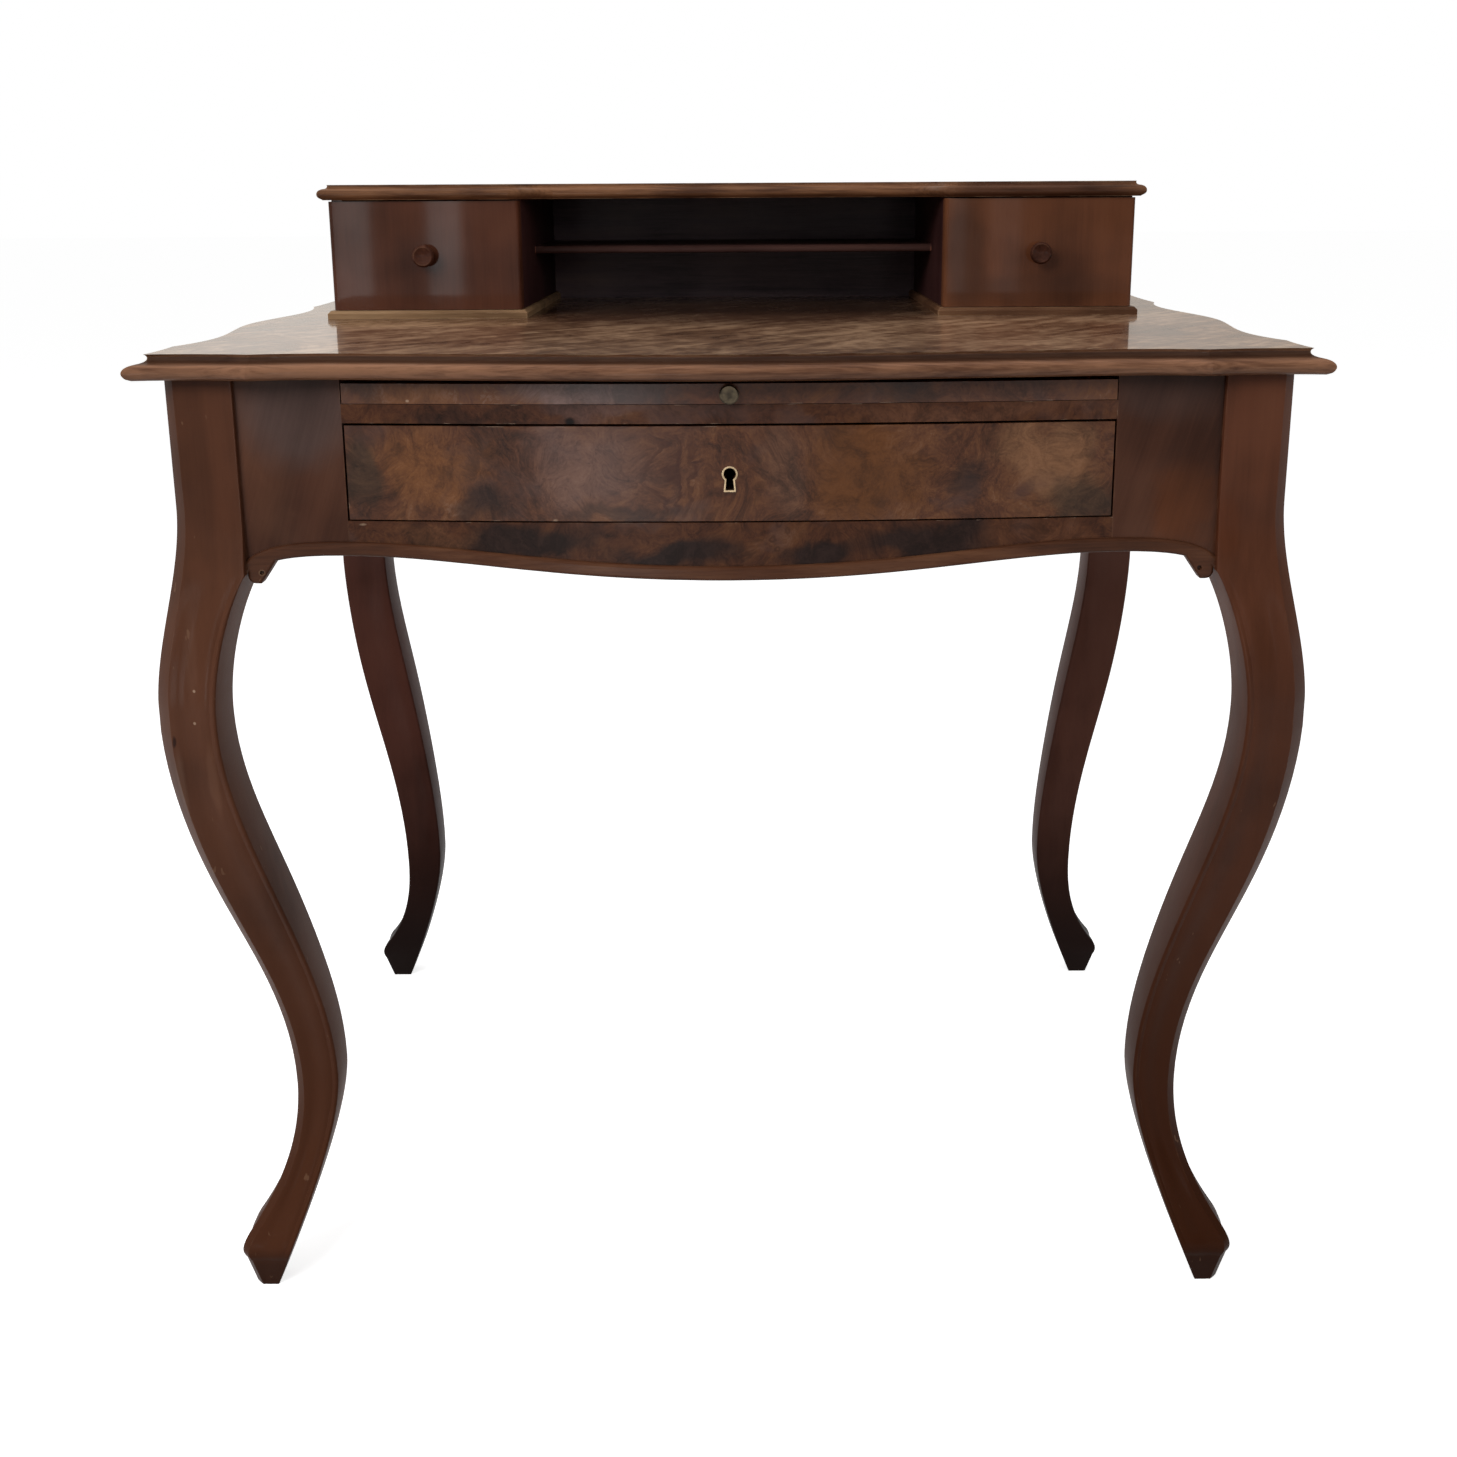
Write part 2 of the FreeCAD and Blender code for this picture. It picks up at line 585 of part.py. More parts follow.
def corner_leg():
    """A leg with its post's outer corner at the origin, sawn on two faces from one square blank."""
    reach = 4 * POST_SIZE
    across = face_of(leg_outline(lambda inset, z: Vec(inset, -reach, z))).extrude(Vec(0, 2 * reach, 0))
    along = face_of(leg_outline(lambda inset, z: Vec(-reach, inset, z))).extrude(Vec(2 * reach, 0, 0))
    leg = across.common(along)
    arrises = corner_edges(leg, -1, 1, BRACKET_HEIGHT) + corner_edges(leg, 1, -1, BRACKET_HEIGHT)
    leg = leg.makeFillet(LEG_ARRIS_RADIUS, arrises)
    leg = leg.makeFillet(LEG_CORNER_RADIUS, corner_edges(leg, -1, -1, UNDER_TOP))
    return leg.makeFillet(LEG_ARRIS_RADIUS, corner_edges(leg, 1, 1, BRACKET_HEIGHT))


def legs():
    """The four legs."""
    leg = corner_leg()
    front = leg.copy()
    front.translate(Vec(-POST_X, POST_FRONT_Y, 0))
    back = leg.mirror(Vec(0, 0, 0), Vec(0, 1, 0))
    back.translate(Vec(-POST_X, POST_REAR_Y, 0))
    return {"leg_front_left": front, "leg_front_right": mirrored(front),
            "leg_back_left": back, "leg_back_right": mirrored(back)}


def rounded_bead(face, lower_edge):
    """Raised bead along the lower edge of a bowed apron, with its front edges rounded."""
    far = OVERALL_DEPTH
    bead = face.strip(0, UNDER_TOP, BEAD_PROUD, 0).common(lower_edge.band(BEAD_HEIGHT, -far, far))
    front_edges = []
    for edge in bead.Edges:
        middle = middle_of(edge)
        ends = [vertex.X for vertex in edge.Vertexes]
        on_front = abs(middle.y - face.y(middle.x, BEAD_PROUD)) < TOUCH
        if on_front and abs(ends[0] - ends[-1]) > TOUCH:
            front_edges.append(edge)
    return bead.makeFillet(BEAD_ROUND, front_edges)


def thumbs():
    """Rounded thumbs in which the front bead ends beside the legs, each with a small eye."""
    side = INNER_POST_X - THUMB_GAP
    foot = BRACKET_HEIGHT - THUMB_DROP
    centre = Vec(side - THUMB_ROUND, 0, foot + THUMB_ROUND)
    slant = THUMB_ROUND * math.sqrt(0.5)
    top = Vec(side, 0, BRACKET_HEIGHT + BEAD_HEIGHT - BEAD_ROUND / 4)
    round_top = Vec(side, 0, centre.z)
    round_foot = Vec(centre.x, 0, foot)
    round_middle = Vec(centre.x + slant, 0, centre.z - slant)
    foot_end = Vec(side - THUMB_FOOT, 0, foot)
    under_bead = Vec(side - THUMB_REACH, 0, BRACKET_HEIGHT + THUMB_RISE)
    edges = [line(top, round_top), arc(round_top, round_middle, round_foot), line(round_foot, foot_end),
             line(foot_end, under_bead), line(under_bead, top)]
    prism = face_of(edges).extrude(AHEAD * OVERALL_DEPTH)
    right = FRONT.strip(0, UNDER_TOP, BEAD_PROUD, THUMB_DEPTH).common(prism)
    rim = []
    for edge in right.Edges:
        middle = middle_of(edge)
        on_front = abs(middle.y - FRONT.y(middle.x, BEAD_PROUD)) < TOUCH
        if on_front and middle.z < BRACKET_HEIGHT + THUMB_RISE / 2:
            rim.append(edge)
    right = right.makeFillet(BEAD_ROUND, rim)
    eye_x = INNER_POST_X - EYE_INSET
    eye_base = Vec(eye_x, FRONT.y(eye_x, BEAD_PROUD) + EYE_DEPTH, BRACKET_HEIGHT + EYE_RISE)
    right = right.cut(rod(EYE_RADIUS, 2 * EYE_DEPTH, eye_base, AHEAD))
    return [mirrored(right), right]


def bowed_front():
    """Panels, rails and bead of the bowed front."""
    far = OVERALL_DEPTH
    above_edge = FRONT_EDGE.above(UNDER_TOP, -far, far)
    panel = FRONT.solid(HALF_OPENING, INNER_POST_X, FACE_Y + PANEL_THICKNESS, 0, UNDER_TOP)
    panel = panel.common(above_edge)
    rail = FRONT.solid(-HALF_OPENING, HALF_OPENING, RAIL_BACK_Y, 0, DRAWER_OPENING_BOTTOM)
    rail = rail.common(above_edge)
    divider = FRONT.solid(-HALF_OPENING, HALF_OPENING, RAIL_BACK_Y, DRAWER_OPENING_TOP, SLIDE_OPENING_BOTTOM)
    mortise = box(-BOLT_WIDTH / 2 - BOLT_GAP, BOLT_WIDTH / 2 + BOLT_GAP,
                  BOLT_FRONT_Y - BOLT_GAP, BOLT_FRONT_Y + BOLT_THICKNESS + BOLT_GAP,
                  DRAWER_OPENING_TOP, LOCK_TOP + BOLT_THROW + BOLT_GAP)
    bead = rounded_bead(FRONT, FRONT_EDGE)
    ends = thumbs()
    nodes = {f"front_panel_{side}": shape.cut(ends) for side, shape in both_sides(panel).items()}
    nodes["bottom_rail"] = rail
    nodes["divider_rail"] = divider.cut(mortise)
    nodes["front_bead"] = bead.fuse(ends).removeSplitter()
    return nodes


def side_aprons():
    """Bowed side aprons with their beads."""
    far = OVERALL_DEPTH
    back = -SIDE_FACE_X + SIDE_APRON_THICKNESS
    apron = SIDE.solid(-SIDE_HALF_SPAN, SIDE_HALF_SPAN, back, 0, UNDER_TOP)
    apron = apron.common(SIDE_EDGE.above(UNDER_TOP, -far, far))
    bead = rounded_bead(SIDE, SIDE_EDGE)
    nodes = {}
    for name, shape in (("side_apron", apron), ("side_bead", bead)):
        shape.rotate(Vec(0, 0, 0), UP, 90)
        shape.translate(Vec(0, SIDE_MIDDLE_Y, 0))
        for side, piece in both_sides(shape).items():
            nodes[f"{name}_{side}"] = piece
    return nodes


def inner_carcass():
    """Back apron, runners, guides, glue blocks and drawer stops."""
    apron_rear = BACK_APRON_Y + BACK_APRON_THICKNESS
    apron_foot = UNDER_TOP - BACK_APRON_DEPTH
    nodes = {"back_apron": box(-INNER_POST_X, INNER_POST_X, BACK_APRON_Y, apron_rear, apron_foot, UNDER_TOP)}
    bearing_x = HALF_OPENING - RUNNER_BEARING
    guide_x = HALF_OPENING + RUNNER_GUIDE

    def runner(foot, bearing_top, top):
        """Rail of L section that carries a sliding piece and guides its edge."""
        base = box(bearing_x, guide_x, RAIL_BACK_Y, BACK_APRON_Y, foot, bearing_top)
        guide = box(HALF_OPENING, guide_x, RAIL_BACK_Y, BACK_APRON_Y, bearing_top, top)
        return base.fuse(guide).removeSplitter()

    drawer = runner(DRAWER_OPENING_BOTTOM - RUNNER_THICKNESS, DRAWER_OPENING_BOTTOM, DRAWER_OPENING_TOP)
    slide = runner(DRAWER_OPENING_TOP, SLIDE_OPENING_BOTTOM, UNDER_TOP)
    for side, shape in both_sides(drawer).items():
        nodes[f"drawer_runner_{side}"] = shape
    for side, shape in both_sides(slide).items():
        nodes[f"slide_guide_{side}"] = shape
    nodes["glue_blocks"] = glue_blocks()
    nodes["drawer_stops"] = drawer_stops()
    return nodes


def glue_blocks():
    """Blocks glued into the corners between the top and the side aprons."""
    inner_x = SIDE_FACE_X - SIDE_APRON_THICKNESS
    blocks = []
    spacing = SIDE_HALF_SPAN - BLOCK_INSET
    for y in (SIDE_MIDDLE_Y - spacing, SIDE_MIDDLE_Y, SIDE_MIDDLE_Y + spacing):
        right = box(inner_x - BLOCK_SIZE, inner_x, y - BLOCK_LENGTH / 2, y + BLOCK_LENGTH / 2,
                    UNDER_TOP - BLOCK_SIZE, UNDER_TOP)
        blocks += [mirrored(right), right]
    return Part.makeCompound(blocks)


def drawer_stops():
    """Blocks on the bottom rail that the drawer front closes against."""
    x = HALF_OPENING - STOP_INSET
    right = box(x - STOP_WIDTH / 2, x + STOP_WIDTH / 2,
                DRAWER_BACK_OF_FRONT + RUNNING_GAP, RAIL_BACK_Y,
                DRAWER_OPENING_BOTTOM, DRAWER_OPENING_BOTTOM + STOP_HEIGHT)
    return Part.makeCompound([mirrored(right), right])


def keyhole(rim, y0, y1):
    """Keyhole-shaped prism, grown by rim."""
    half_top = KEYHOLE_SLOT_TOP / 2 + rim
    half_foot = KEYHOLE_SLOT_FOOT / 2 + rim
    foot = KEYHOLE_HEIGHT - KEYHOLE_SLOT_LENGTH - rim
    corners = [Vec(-half_top, y0, KEYHOLE_HEIGHT), Vec(-half_foot, y0, foot),
               Vec(half_foot, y0, foot), Vec(half_top, y0, KEYHOLE_HEIGHT)]
    slot = Part.Face(Part.makePolygon(corners + corners[:1])).extrude(Vec(0, y1 - y0, 0))
    round_part = rod(KEYHOLE_RADIUS + rim, y1 - y0, Vec(0, y0, KEYHOLE_HEIGHT), -AHEAD)
    return round_part.fuse(slot).removeSplitter()


def lock():
    """Lock case, its screws and its bolt."""
    half = LOCK_WIDTH / 2
    foot = LOCK_TOP - LOCK_HEIGHT
    case = box(-half, half, LOCK_FRONT_Y, DRAWER_BACK_OF_FRONT, foot, LOCK_TOP)
    half_bolt = BOLT_WIDTH / 2
    bolt_back_y = BOLT_FRONT_Y + BOLT_THICKNESS
    bolt_foot = LOCK_TOP - BOLT_HEIGHT
    bolt = box(-half_bolt, half_bolt, BOLT_FRONT_Y, bolt_back_y, bolt_foot, LOCK_TOP)
    channel = box(-half_bolt - BOLT_GAP, half_bolt + BOLT_GAP, BOLT_FRONT_Y - BOLT_GAP,
                  bolt_back_y + BOLT_GAP, bolt_foot - BOLT_GAP, LOCK_TOP)
    cone_depth = LOCK_SCREW_HEAD - LOCK_SCREW_RADIUS
    screws = []
    for x in (-half + LOCK_SCREW_EDGE, half - LOCK_SCREW_EDGE):
        for z in (foot + LOCK_SCREW_EDGE, LOCK_TOP - LOCK_SCREW_EDGE):
            base = Vec(x, DRAWER_BACK_OF_FRONT, z)
            cone = Part.makeCone(LOCK_SCREW_HEAD, LOCK_SCREW_RADIUS, cone_depth, base, AHEAD)
            shank = rod(LOCK_SCREW_RADIUS, LOCK_DEPTH + LOCK_SCREW_LENGTH, base, AHEAD)
            screws.append(cone.fuse(shank).removeSplitter())
    case = case.cut([channel, keyhole(0, LOCK_FRONT_Y, DRAWER_BACK_OF_FRONT)] + screws)
    return case, Part.makeCompound(screws), bolt


def main_drawer():
    """The main drawer with its keyhole liner and lock."""
    front = FRONT.solid(-DRAWER_HALF, DRAWER_HALF, DRAWER_BACK_OF_FRONT, DRAWER_FOOT, DRAWER_TOP)
    face_y = FRONT.y(0)
    liner_back = face_y + LINER_DEPTH
    case, screws, bolt = lock()
    half = LOCK_WIDTH / 2
    pocket = box(-half, half, LOCK_FRONT_Y, DRAWER_BACK_OF_FRONT, LOCK_TOP - LOCK_HEIGHT, DRAWER_TOP)
    liner_seat = keyhole(LINER_RIM, face_y - LINER_PROUD, liner_back)
    liner = liner_seat.cut(keyhole(0, face_y - LINER_PROUD, liner_back))
    front = front.cut([pocket, liner_seat, keyhole(0, liner_back, LOCK_FRONT_Y)] + screws.Solids)
    inner = DRAWER_HALF - DRAWER_SIDE_THICKNESS
    top = DRAWER_TOP - DRAWER_SIDE_DROP
    back_y = DRAWER_END_Y - DRAWER_SIDE_THICKNESS
    side = box(inner, DRAWER_HALF, DRAWER_BACK_OF_FRONT, DRAWER_END_Y, DRAWER_SIDE_FOOT, top)
    sides = both_sides(side)
    floor_foot = DRAWER_SIDE_FOOT + DRAWER_BOTTOM_LIFT
    return {
        "drawer_front": front,
        "drawer_side_left": sides["left"],
        "drawer_side_right": sides["right"],
        "drawer_back": box(-inner, inner, back_y, DRAWER_END_Y, DRAWER_FLOOR_TOP, top),
        "drawer_bottom": box(-inner, inner, DRAWER_BACK_OF_FRONT, DRAWER_END_Y, floor_foot, DRAWER_FLOOR_TOP),
        "keyhole_liner": liner,
        "lock_case": case,
        "lock_screws": screws,
        "lock_bolt": bolt,
    }


class Turning:
    """Turned piece whose axis runs ahead from a base point."""

    def __init__(self, base):
        self.base = base

    def at(self, reach, radius):
        """Point of the profile at a reach ahead of the base and a distance from the axis."""
        return self.base + AHEAD * reach + Vec(radius, 0, 0)

    def solid(self, edges):
        """The piece whose closed profile has the given edges."""
        return face_of(edges).revolve(self.base, AHEAD, 360)


def brass_knob(base):
    """Flat brass knob on a stem, with its tenon behind the base point."""
    head_back = BRASS_KNOB_STANDOFF
    head_front = BRASS_KNOB_STANDOFF + BRASS_KNOB_HEAD
    face_radius = BRASS_KNOB_RADIUS - BRASS_KNOB_CHAMFER
    profile = [(-BRASS_KNOB_TENON, 0), (-BRASS_KNOB_TENON, BRASS_KNOB_STEM_RADIUS),
               (head_back, BRASS_KNOB_STEM_RADIUS), (head_back, face_radius),
               (head_back + BRASS_KNOB_CHAMFER, BRASS_KNOB_RADIUS),
               (head_front - BRASS_KNOB_CHAMFER, BRASS_KNOB_RADIUS),
               (head_front, face_radius), (head_front, 0)]
    turning = Turning(base)
    points = [turning.at(reach, radius) for reach, radius in profile]
    return turning.solid(lines(points + points[:1]))


def wooden_knob(base):
    """Turned wooden knob with a dished face, with its tenon behind the base point."""
    turning = Turning(base)
    head = KNOB_FOOT_LENGTH + KNOB_NECK_LENGTH
    reach = head + KNOB_HEAD_LENGTH
    lip_radius = KNOB_RADIUS - KNOB_LIP
    axis_end = turning.at(-KNOB_TENON_LENGTH, 0)
    neck_end = turning.at(head, KNOB_NECK_RADIUS)
    lip = turning.at(reach, lip_radius)
    dish = turning.at(reach - KNOB_DISH, 0)
    tenon = [axis_end, turning.at(-KNOB_TENON_LENGTH, KNOB_TENON_RADIUS), turning.at(0, KNOB_TENON_RADIUS)]
    neck = [turning.at(0, KNOB_FOOT_RADIUS), turning.at(KNOB_FOOT_LENGTH, KNOB_NECK_RADIUS), neck_end]
    stem = lines(tenon + neck)
    rim = arc(neck_end, turning.at(head + KNOB_HEAD_LENGTH / 2, KNOB_RADIUS), lip)
    hollow = bezier(lip, turning.at(reach - KNOB_DISH, lip_radius / 2), dish)
    return turning.solid(stem + [rim, hollow, line(dish, axis_end)])


def writing_slide():
    """The writing slide with its brass knob and stop batten."""
    strip = FRONT.solid(-SLIDE_HALF, SLIDE_HALF, SLIDE_PANEL_Y, SLIDE_FOOT, SLIDE_TOP)
    knob = brass_knob(Vec(0, FRONT.y(0), SLIDE_MIDDLE))
    half_batten = SLIDE_HALF - STOP_BATTEN_INSET
    return {
        "slide_front": strip.cut(knob),
        "slide_panel": box(-SLIDE_HALF, SLIDE_HALF, SLIDE_PANEL_Y, SLIDE_END_Y, SLIDE_FOOT, SLIDE_TOP),
        "slide_knob": knob,
        "slide_stop_batten": box(-half_batten, half_batten, SLIDE_END_Y - STOP_BATTEN_DEPTH, SLIDE_END_Y,
                                 SLIDE_FOOT - STOP_BATTEN_HEIGHT, SLIDE_FOOT),
    }


def gradin():
    """The gradin's fixed boards and base mouldings."""
    inner_x = HALF_BAY + GRADIN_SIDE_THICKNESS
    outer_x = HALF_GRADIN - GRADIN_SIDE_THICKNESS
    shelf_y = GRADIN_FRONT_Y + SHELF_SETBACK
    shelf_z = WRITING_HEIGHT + SHELF_HEIGHT
    shelf = box(-HALF_BAY, HALF_BAY, shelf_y, GRADIN_BACK_Y, shelf_z, shelf_z + SHELF_THICKNESS)
    nose = [edge for edge in shelf.Edges
            if abs(middle_of(edge).y - shelf_y) < TOUCH and edge.Length > HALF_BAY]
    board = gradin_outline().board(GRADIN_UNDER_TOP, GRADIN_TOP_THICKNESS, GRADIN_MOULDING, GRADIN_EDGE)
    nodes = {
        "gradin_top": board,
        "gradin_back": box(-outer_x, outer_x, GRADIN_BACK_Y, GRADIN_REAR_Y, WRITING_HEIGHT, GRADIN_UNDER_TOP),
        "gradin_shelf": shelf.makeFillet(SHELF_ROUND, nose),
    }
    outer = box(outer_x, HALF_GRADIN, GRADIN_SIDE_Y, GRADIN_REAR_Y, WRITING_HEIGHT, GRADIN_UNDER_TOP)
    inner = box(HALF_BAY, inner_x, GRADIN_SIDE_Y, GRADIN_BACK_Y, WRITING_HEIGHT, GRADIN_UNDER_TOP)
    floor = box(inner_x, outer_x, GRADIN_SIDE_Y, GRADIN_BACK_Y, WRITING_HEIGHT, SMALL_FLOOR)
    dowels = gradin_dowels()
    for name, shape in (("gradin_outer_side", outer), ("gradin_inner_side", inner),
                        ("gradin_floor", floor), ("gradin_base", gradin_base())):
        for side, piece in both_sides(shape).items():
            nodes[f"{name}_{side}"] = piece
    for name in ("gradin_outer_side_left", "gradin_outer_side_right",
                 "gradin_inner_side_left", "gradin_inner_side_right"):
        nodes[name] = nodes[name].cut(dowels.Solids)
    nodes["gradin_dowels"] = dowels
    return nodes


def gradin_dowels():
    """Dowels that hold the gradin's sides to the table top."""
    dowels = []
    for x in (HALF_BAY + GRADIN_SIDE_THICKNESS / 2, HALF_GRADIN - GRADIN_SIDE_THICKNESS / 2):
        for y in (GRADIN_SIDE_Y + DOWEL_EDGE, GRADIN_BACK_Y - DOWEL_EDGE):
            right = rod(DOWEL_RADIUS, DOWEL_LENGTH, Vec(x, y, WRITING_HEIGHT - DOWEL_LENGTH / 2), UP)
            dowels += [mirrored(right), right]
    return Part.makeCompound(dowels)


def gradin_base():
    """Bevelled base moulding round the right box: front length and two mitred returns."""
    x0 = HALF_BAY - BASE_PROUD
    x1 = HALF_GRADIN + BASE_PROUD
    y0 = GRADIN_FRONT_Y - BASE_PROUD
    top = SMALL_FLOOR

    def ring(inset, z):
        """Rectangle round the box at height z."""
        corners = [Vec(x0 + inset, y0 + inset, z), Vec(x1 - inset, y0 + inset, z),
                   Vec(x1 - inset, GRADIN_BACK_Y, z), Vec(x0 + inset, GRADIN_BACK_Y, z)]
        return Part.makePolygon(corners + corners[:1])

    lower = Part.makeLoft([ring(0, WRITING_HEIGHT), ring(0, top - BASE_BEVEL)], True, True)
    upper = Part.makeLoft([ring(0, top - BASE_BEVEL), ring(BASE_BEVEL, top)], True, True)
    hollow = box(HALF_BAY, HALF_GRADIN, GRADIN_SIDE_Y, GRADIN_REAR_Y, WRITING_HEIGHT, top)
    ring_solid = lower.fuse(upper).removeSplitter().cut(hollow)
    depth = GRADIN_SIDE_Y - y0
    corners = [Vec(x0, y0, WRITING_HEIGHT), Vec(x1, y0, WRITING_HEIGHT),
               Vec(HALF_GRADIN, GRADIN_FRONT_Y, WRITING_HEIGHT), Vec(HALF_GRADIN, y0 + depth, WRITING_HEIGHT),
               Vec(HALF_BAY, y0 + depth, WRITING_HEIGHT), Vec(HALF_BAY, GRADIN_FRONT_Y, WRITING_HEIGHT)]
    wedge = Part.Face(Part.makePolygon(corners + corners[:1])).extrude(UP * GRADIN_FLOOR_THICKNESS)
    return Part.makeCompound([ring_solid.common(wedge)] + ring_solid.cut(wedge).Solids)


def small_drawer():
    """The right small drawer."""
    back_of_front = GRADIN_FRONT_Y + SMALL_FRONT_THICKNESS
    front = box(HALF_BAY, HALF_GRADIN, GRADIN_FRONT_Y, back_of_front, SMALL_FOOT, SMALL_TOP)
    middles = [(edge, middle_of(edge)) for edge in front.Edges]
    upright = [edge for edge, middle in middles
               if abs(middle.y - GRADIN_FRONT_Y) < TOUCH and abs(middle.z - SMALL_MIDDLE_Z) < TOUCH]
    front = front.makeFillet(SMALL_FRONT_ROUND, upright)
    knob = wooden_knob(Vec(SMALL_MIDDLE_X, GRADIN_FRONT_Y, SMALL_MIDDLE_Z))
    top = SMALL_TOP - SMALL_SIDE_DROP
    floor_foot = SMALL_FOOT + SMALL_BOTTOM_LIFT
    floor_top = floor_foot + SMALL_BOTTOM_THICKNESS
    inner_wall = SMALL_INNER_X + SMALL_WALL
    outer_wall = SMALL_OUTER_X - SMALL_WALL
    return {
        "front": front.cut(knob),
        "inner_side": box(SMALL_INNER_X, inner_wall, back_of_front, SMALL_END_Y, SMALL_FOOT, top),
        "outer_side": box(outer_wall, SMALL_OUTER_X, back_of_front, SMALL_END_Y, SMALL_FOOT, top),
        "back": box(inner_wall, outer_wall, SMALL_END_Y - SMALL_WALL, SMALL_END_Y, floor_top, top),
        "bottom": box(inner_wall, outer_wall, back_of_front, SMALL_END_Y, floor_foot, floor_top),
        "knob": knob,
    }


def desk():
    """Every piece of the desk by name."""
    nodes = legs()
    top = table_top_outline().board(UNDER_TOP, TOP_THICKNESS, TOP_MOULDING, TOP_EDGE)
    nodes["table_top"] = top.cut(gradin_dowels().Solids)
    nodes.update(bowed_front())
    nodes.update(side_aprons())
    nodes.update(inner_carcass())
    nodes.update(main_drawer())
    nodes.update(writing_slide())
    nodes.update(gradin())
    for name, shape in small_drawer().items():
        for side, piece in both_sides(shape).items():
            nodes[f"small_drawer_{side}_{name}"] = piece
    return nodes


os.makedirs("parts", exist_ok=True)
for node, shape in desk().items():
    shape.exportStep(f"parts/{node}.step")
    print(node, len(shape.Solids), round(shape.Volume / 1000, 2), "cm3", shape.isValid())
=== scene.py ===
"""Lady's walnut writing desk with a gradin: finishes, carved legs, light and camera."""

import json
import logging
import math
from dataclasses import dataclass, field
from enum import Enum
from typing import Any, Sequence

import bmesh
import bpy
import numpy as np
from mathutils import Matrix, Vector

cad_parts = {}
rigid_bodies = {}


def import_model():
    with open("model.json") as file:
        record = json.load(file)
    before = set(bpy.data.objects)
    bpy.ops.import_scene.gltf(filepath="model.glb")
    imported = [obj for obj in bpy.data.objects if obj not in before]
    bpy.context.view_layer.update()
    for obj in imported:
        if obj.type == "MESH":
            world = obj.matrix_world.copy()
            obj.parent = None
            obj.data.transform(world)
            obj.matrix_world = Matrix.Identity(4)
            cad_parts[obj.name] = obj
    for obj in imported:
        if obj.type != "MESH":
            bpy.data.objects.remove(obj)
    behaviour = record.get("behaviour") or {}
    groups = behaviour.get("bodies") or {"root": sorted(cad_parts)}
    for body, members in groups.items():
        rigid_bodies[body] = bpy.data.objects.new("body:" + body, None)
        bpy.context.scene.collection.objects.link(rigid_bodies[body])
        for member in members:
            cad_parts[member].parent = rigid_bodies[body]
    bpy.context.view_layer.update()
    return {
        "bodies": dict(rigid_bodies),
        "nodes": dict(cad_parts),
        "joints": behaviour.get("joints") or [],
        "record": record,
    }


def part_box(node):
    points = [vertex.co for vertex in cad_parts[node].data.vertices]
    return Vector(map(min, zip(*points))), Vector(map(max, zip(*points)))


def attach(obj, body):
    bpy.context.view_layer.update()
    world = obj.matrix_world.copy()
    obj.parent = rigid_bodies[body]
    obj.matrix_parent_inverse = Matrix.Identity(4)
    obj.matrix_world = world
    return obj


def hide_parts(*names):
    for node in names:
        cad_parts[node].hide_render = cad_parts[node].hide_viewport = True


LOG = logging.getLogger("writing_desk")

Colour = tuple[float, float, float]
Place = tuple[float, float, float]
Point = tuple[float, float]
Blot = tuple[Place, Place]

CLOUD_TINTS = (0.6, 1.4)
BLOT_FADE = (1.15, 0.45)
VARNISH_IOR = 1.5


def shade(red: int, green: int, blue: int) -> Colour:
    """Turn a colour as it looks on a screen into the linear colour that a shader takes.

    Args:
        red: Red from 0 to 255.
        green: Green from 0 to 255.
        blue: Blue from 0 to 255.

    Returns:
        The linear colour.
    """
    def linear(level: int) -> float:
        """Return one channel without its screen curve."""
        share = level / 255
        return share / 12.92 if share <= 0.04045 else ((share + 0.055) / 1.055) ** 2.4

    return linear(red), linear(green), linear(blue)


@dataclass(frozen=True)
class Cloud:
    """A ragged cloud of colour at a place on an upright face, in metres across and up."""

    centre: Point
    reach: Point
    colour: Colour
    strength: float
    raggedness: float = 1.0


class Value:
    """A socket's value, with arithmetic that adds Math nodes."""

    def __init__(self, graph: "Graph", socket: bpy.types.NodeSocket) -> None:
        """Keep the graph and the output socket that carries the value."""
        self.graph = graph
        self.socket = socket

    def math(self, operation: str, *others: "Value | float") -> "Value":
        """Add a Math node with this value first and the others after it."""
        return self.graph.math(operation, self, *others)

    def __add__(self, other: "Value | float") -> "Value":
        """Add."""
        return self.math("ADD", other)

    def __radd__(self, other: float) -> "Value":
        """Add to a number."""
        return self.graph.math("ADD", other, self)

    def __sub__(self, other: "Value | float") -> "Value":
        """Subtract."""
        return self.math("SUBTRACT", other)

    def __rsub__(self, other: float) -> "Value":
        """Subtract from a number."""
        return self.graph.math("SUBTRACT", other, self)

    def __mul__(self, other: "Value | float") -> "Value":
        """Multiply."""
        return self.math("MULTIPLY", other)

    def __rmul__(self, other: float) -> "Value":
        """Multiply a number."""
        return self.graph.math("MULTIPLY", other, self)

    def ramp(self, low: float, high: float) -> "Value":
        """Rise smoothly from 0 at low to 1 at high; where low is the greater, it falls."""
        inputs = {"Value": self, "From Min": low, "From Max": high}
        return self.graph.add("ShaderNodeMapRange", {"interpolation_type": "SMOOTHSTEP"}, inputs, "Result")


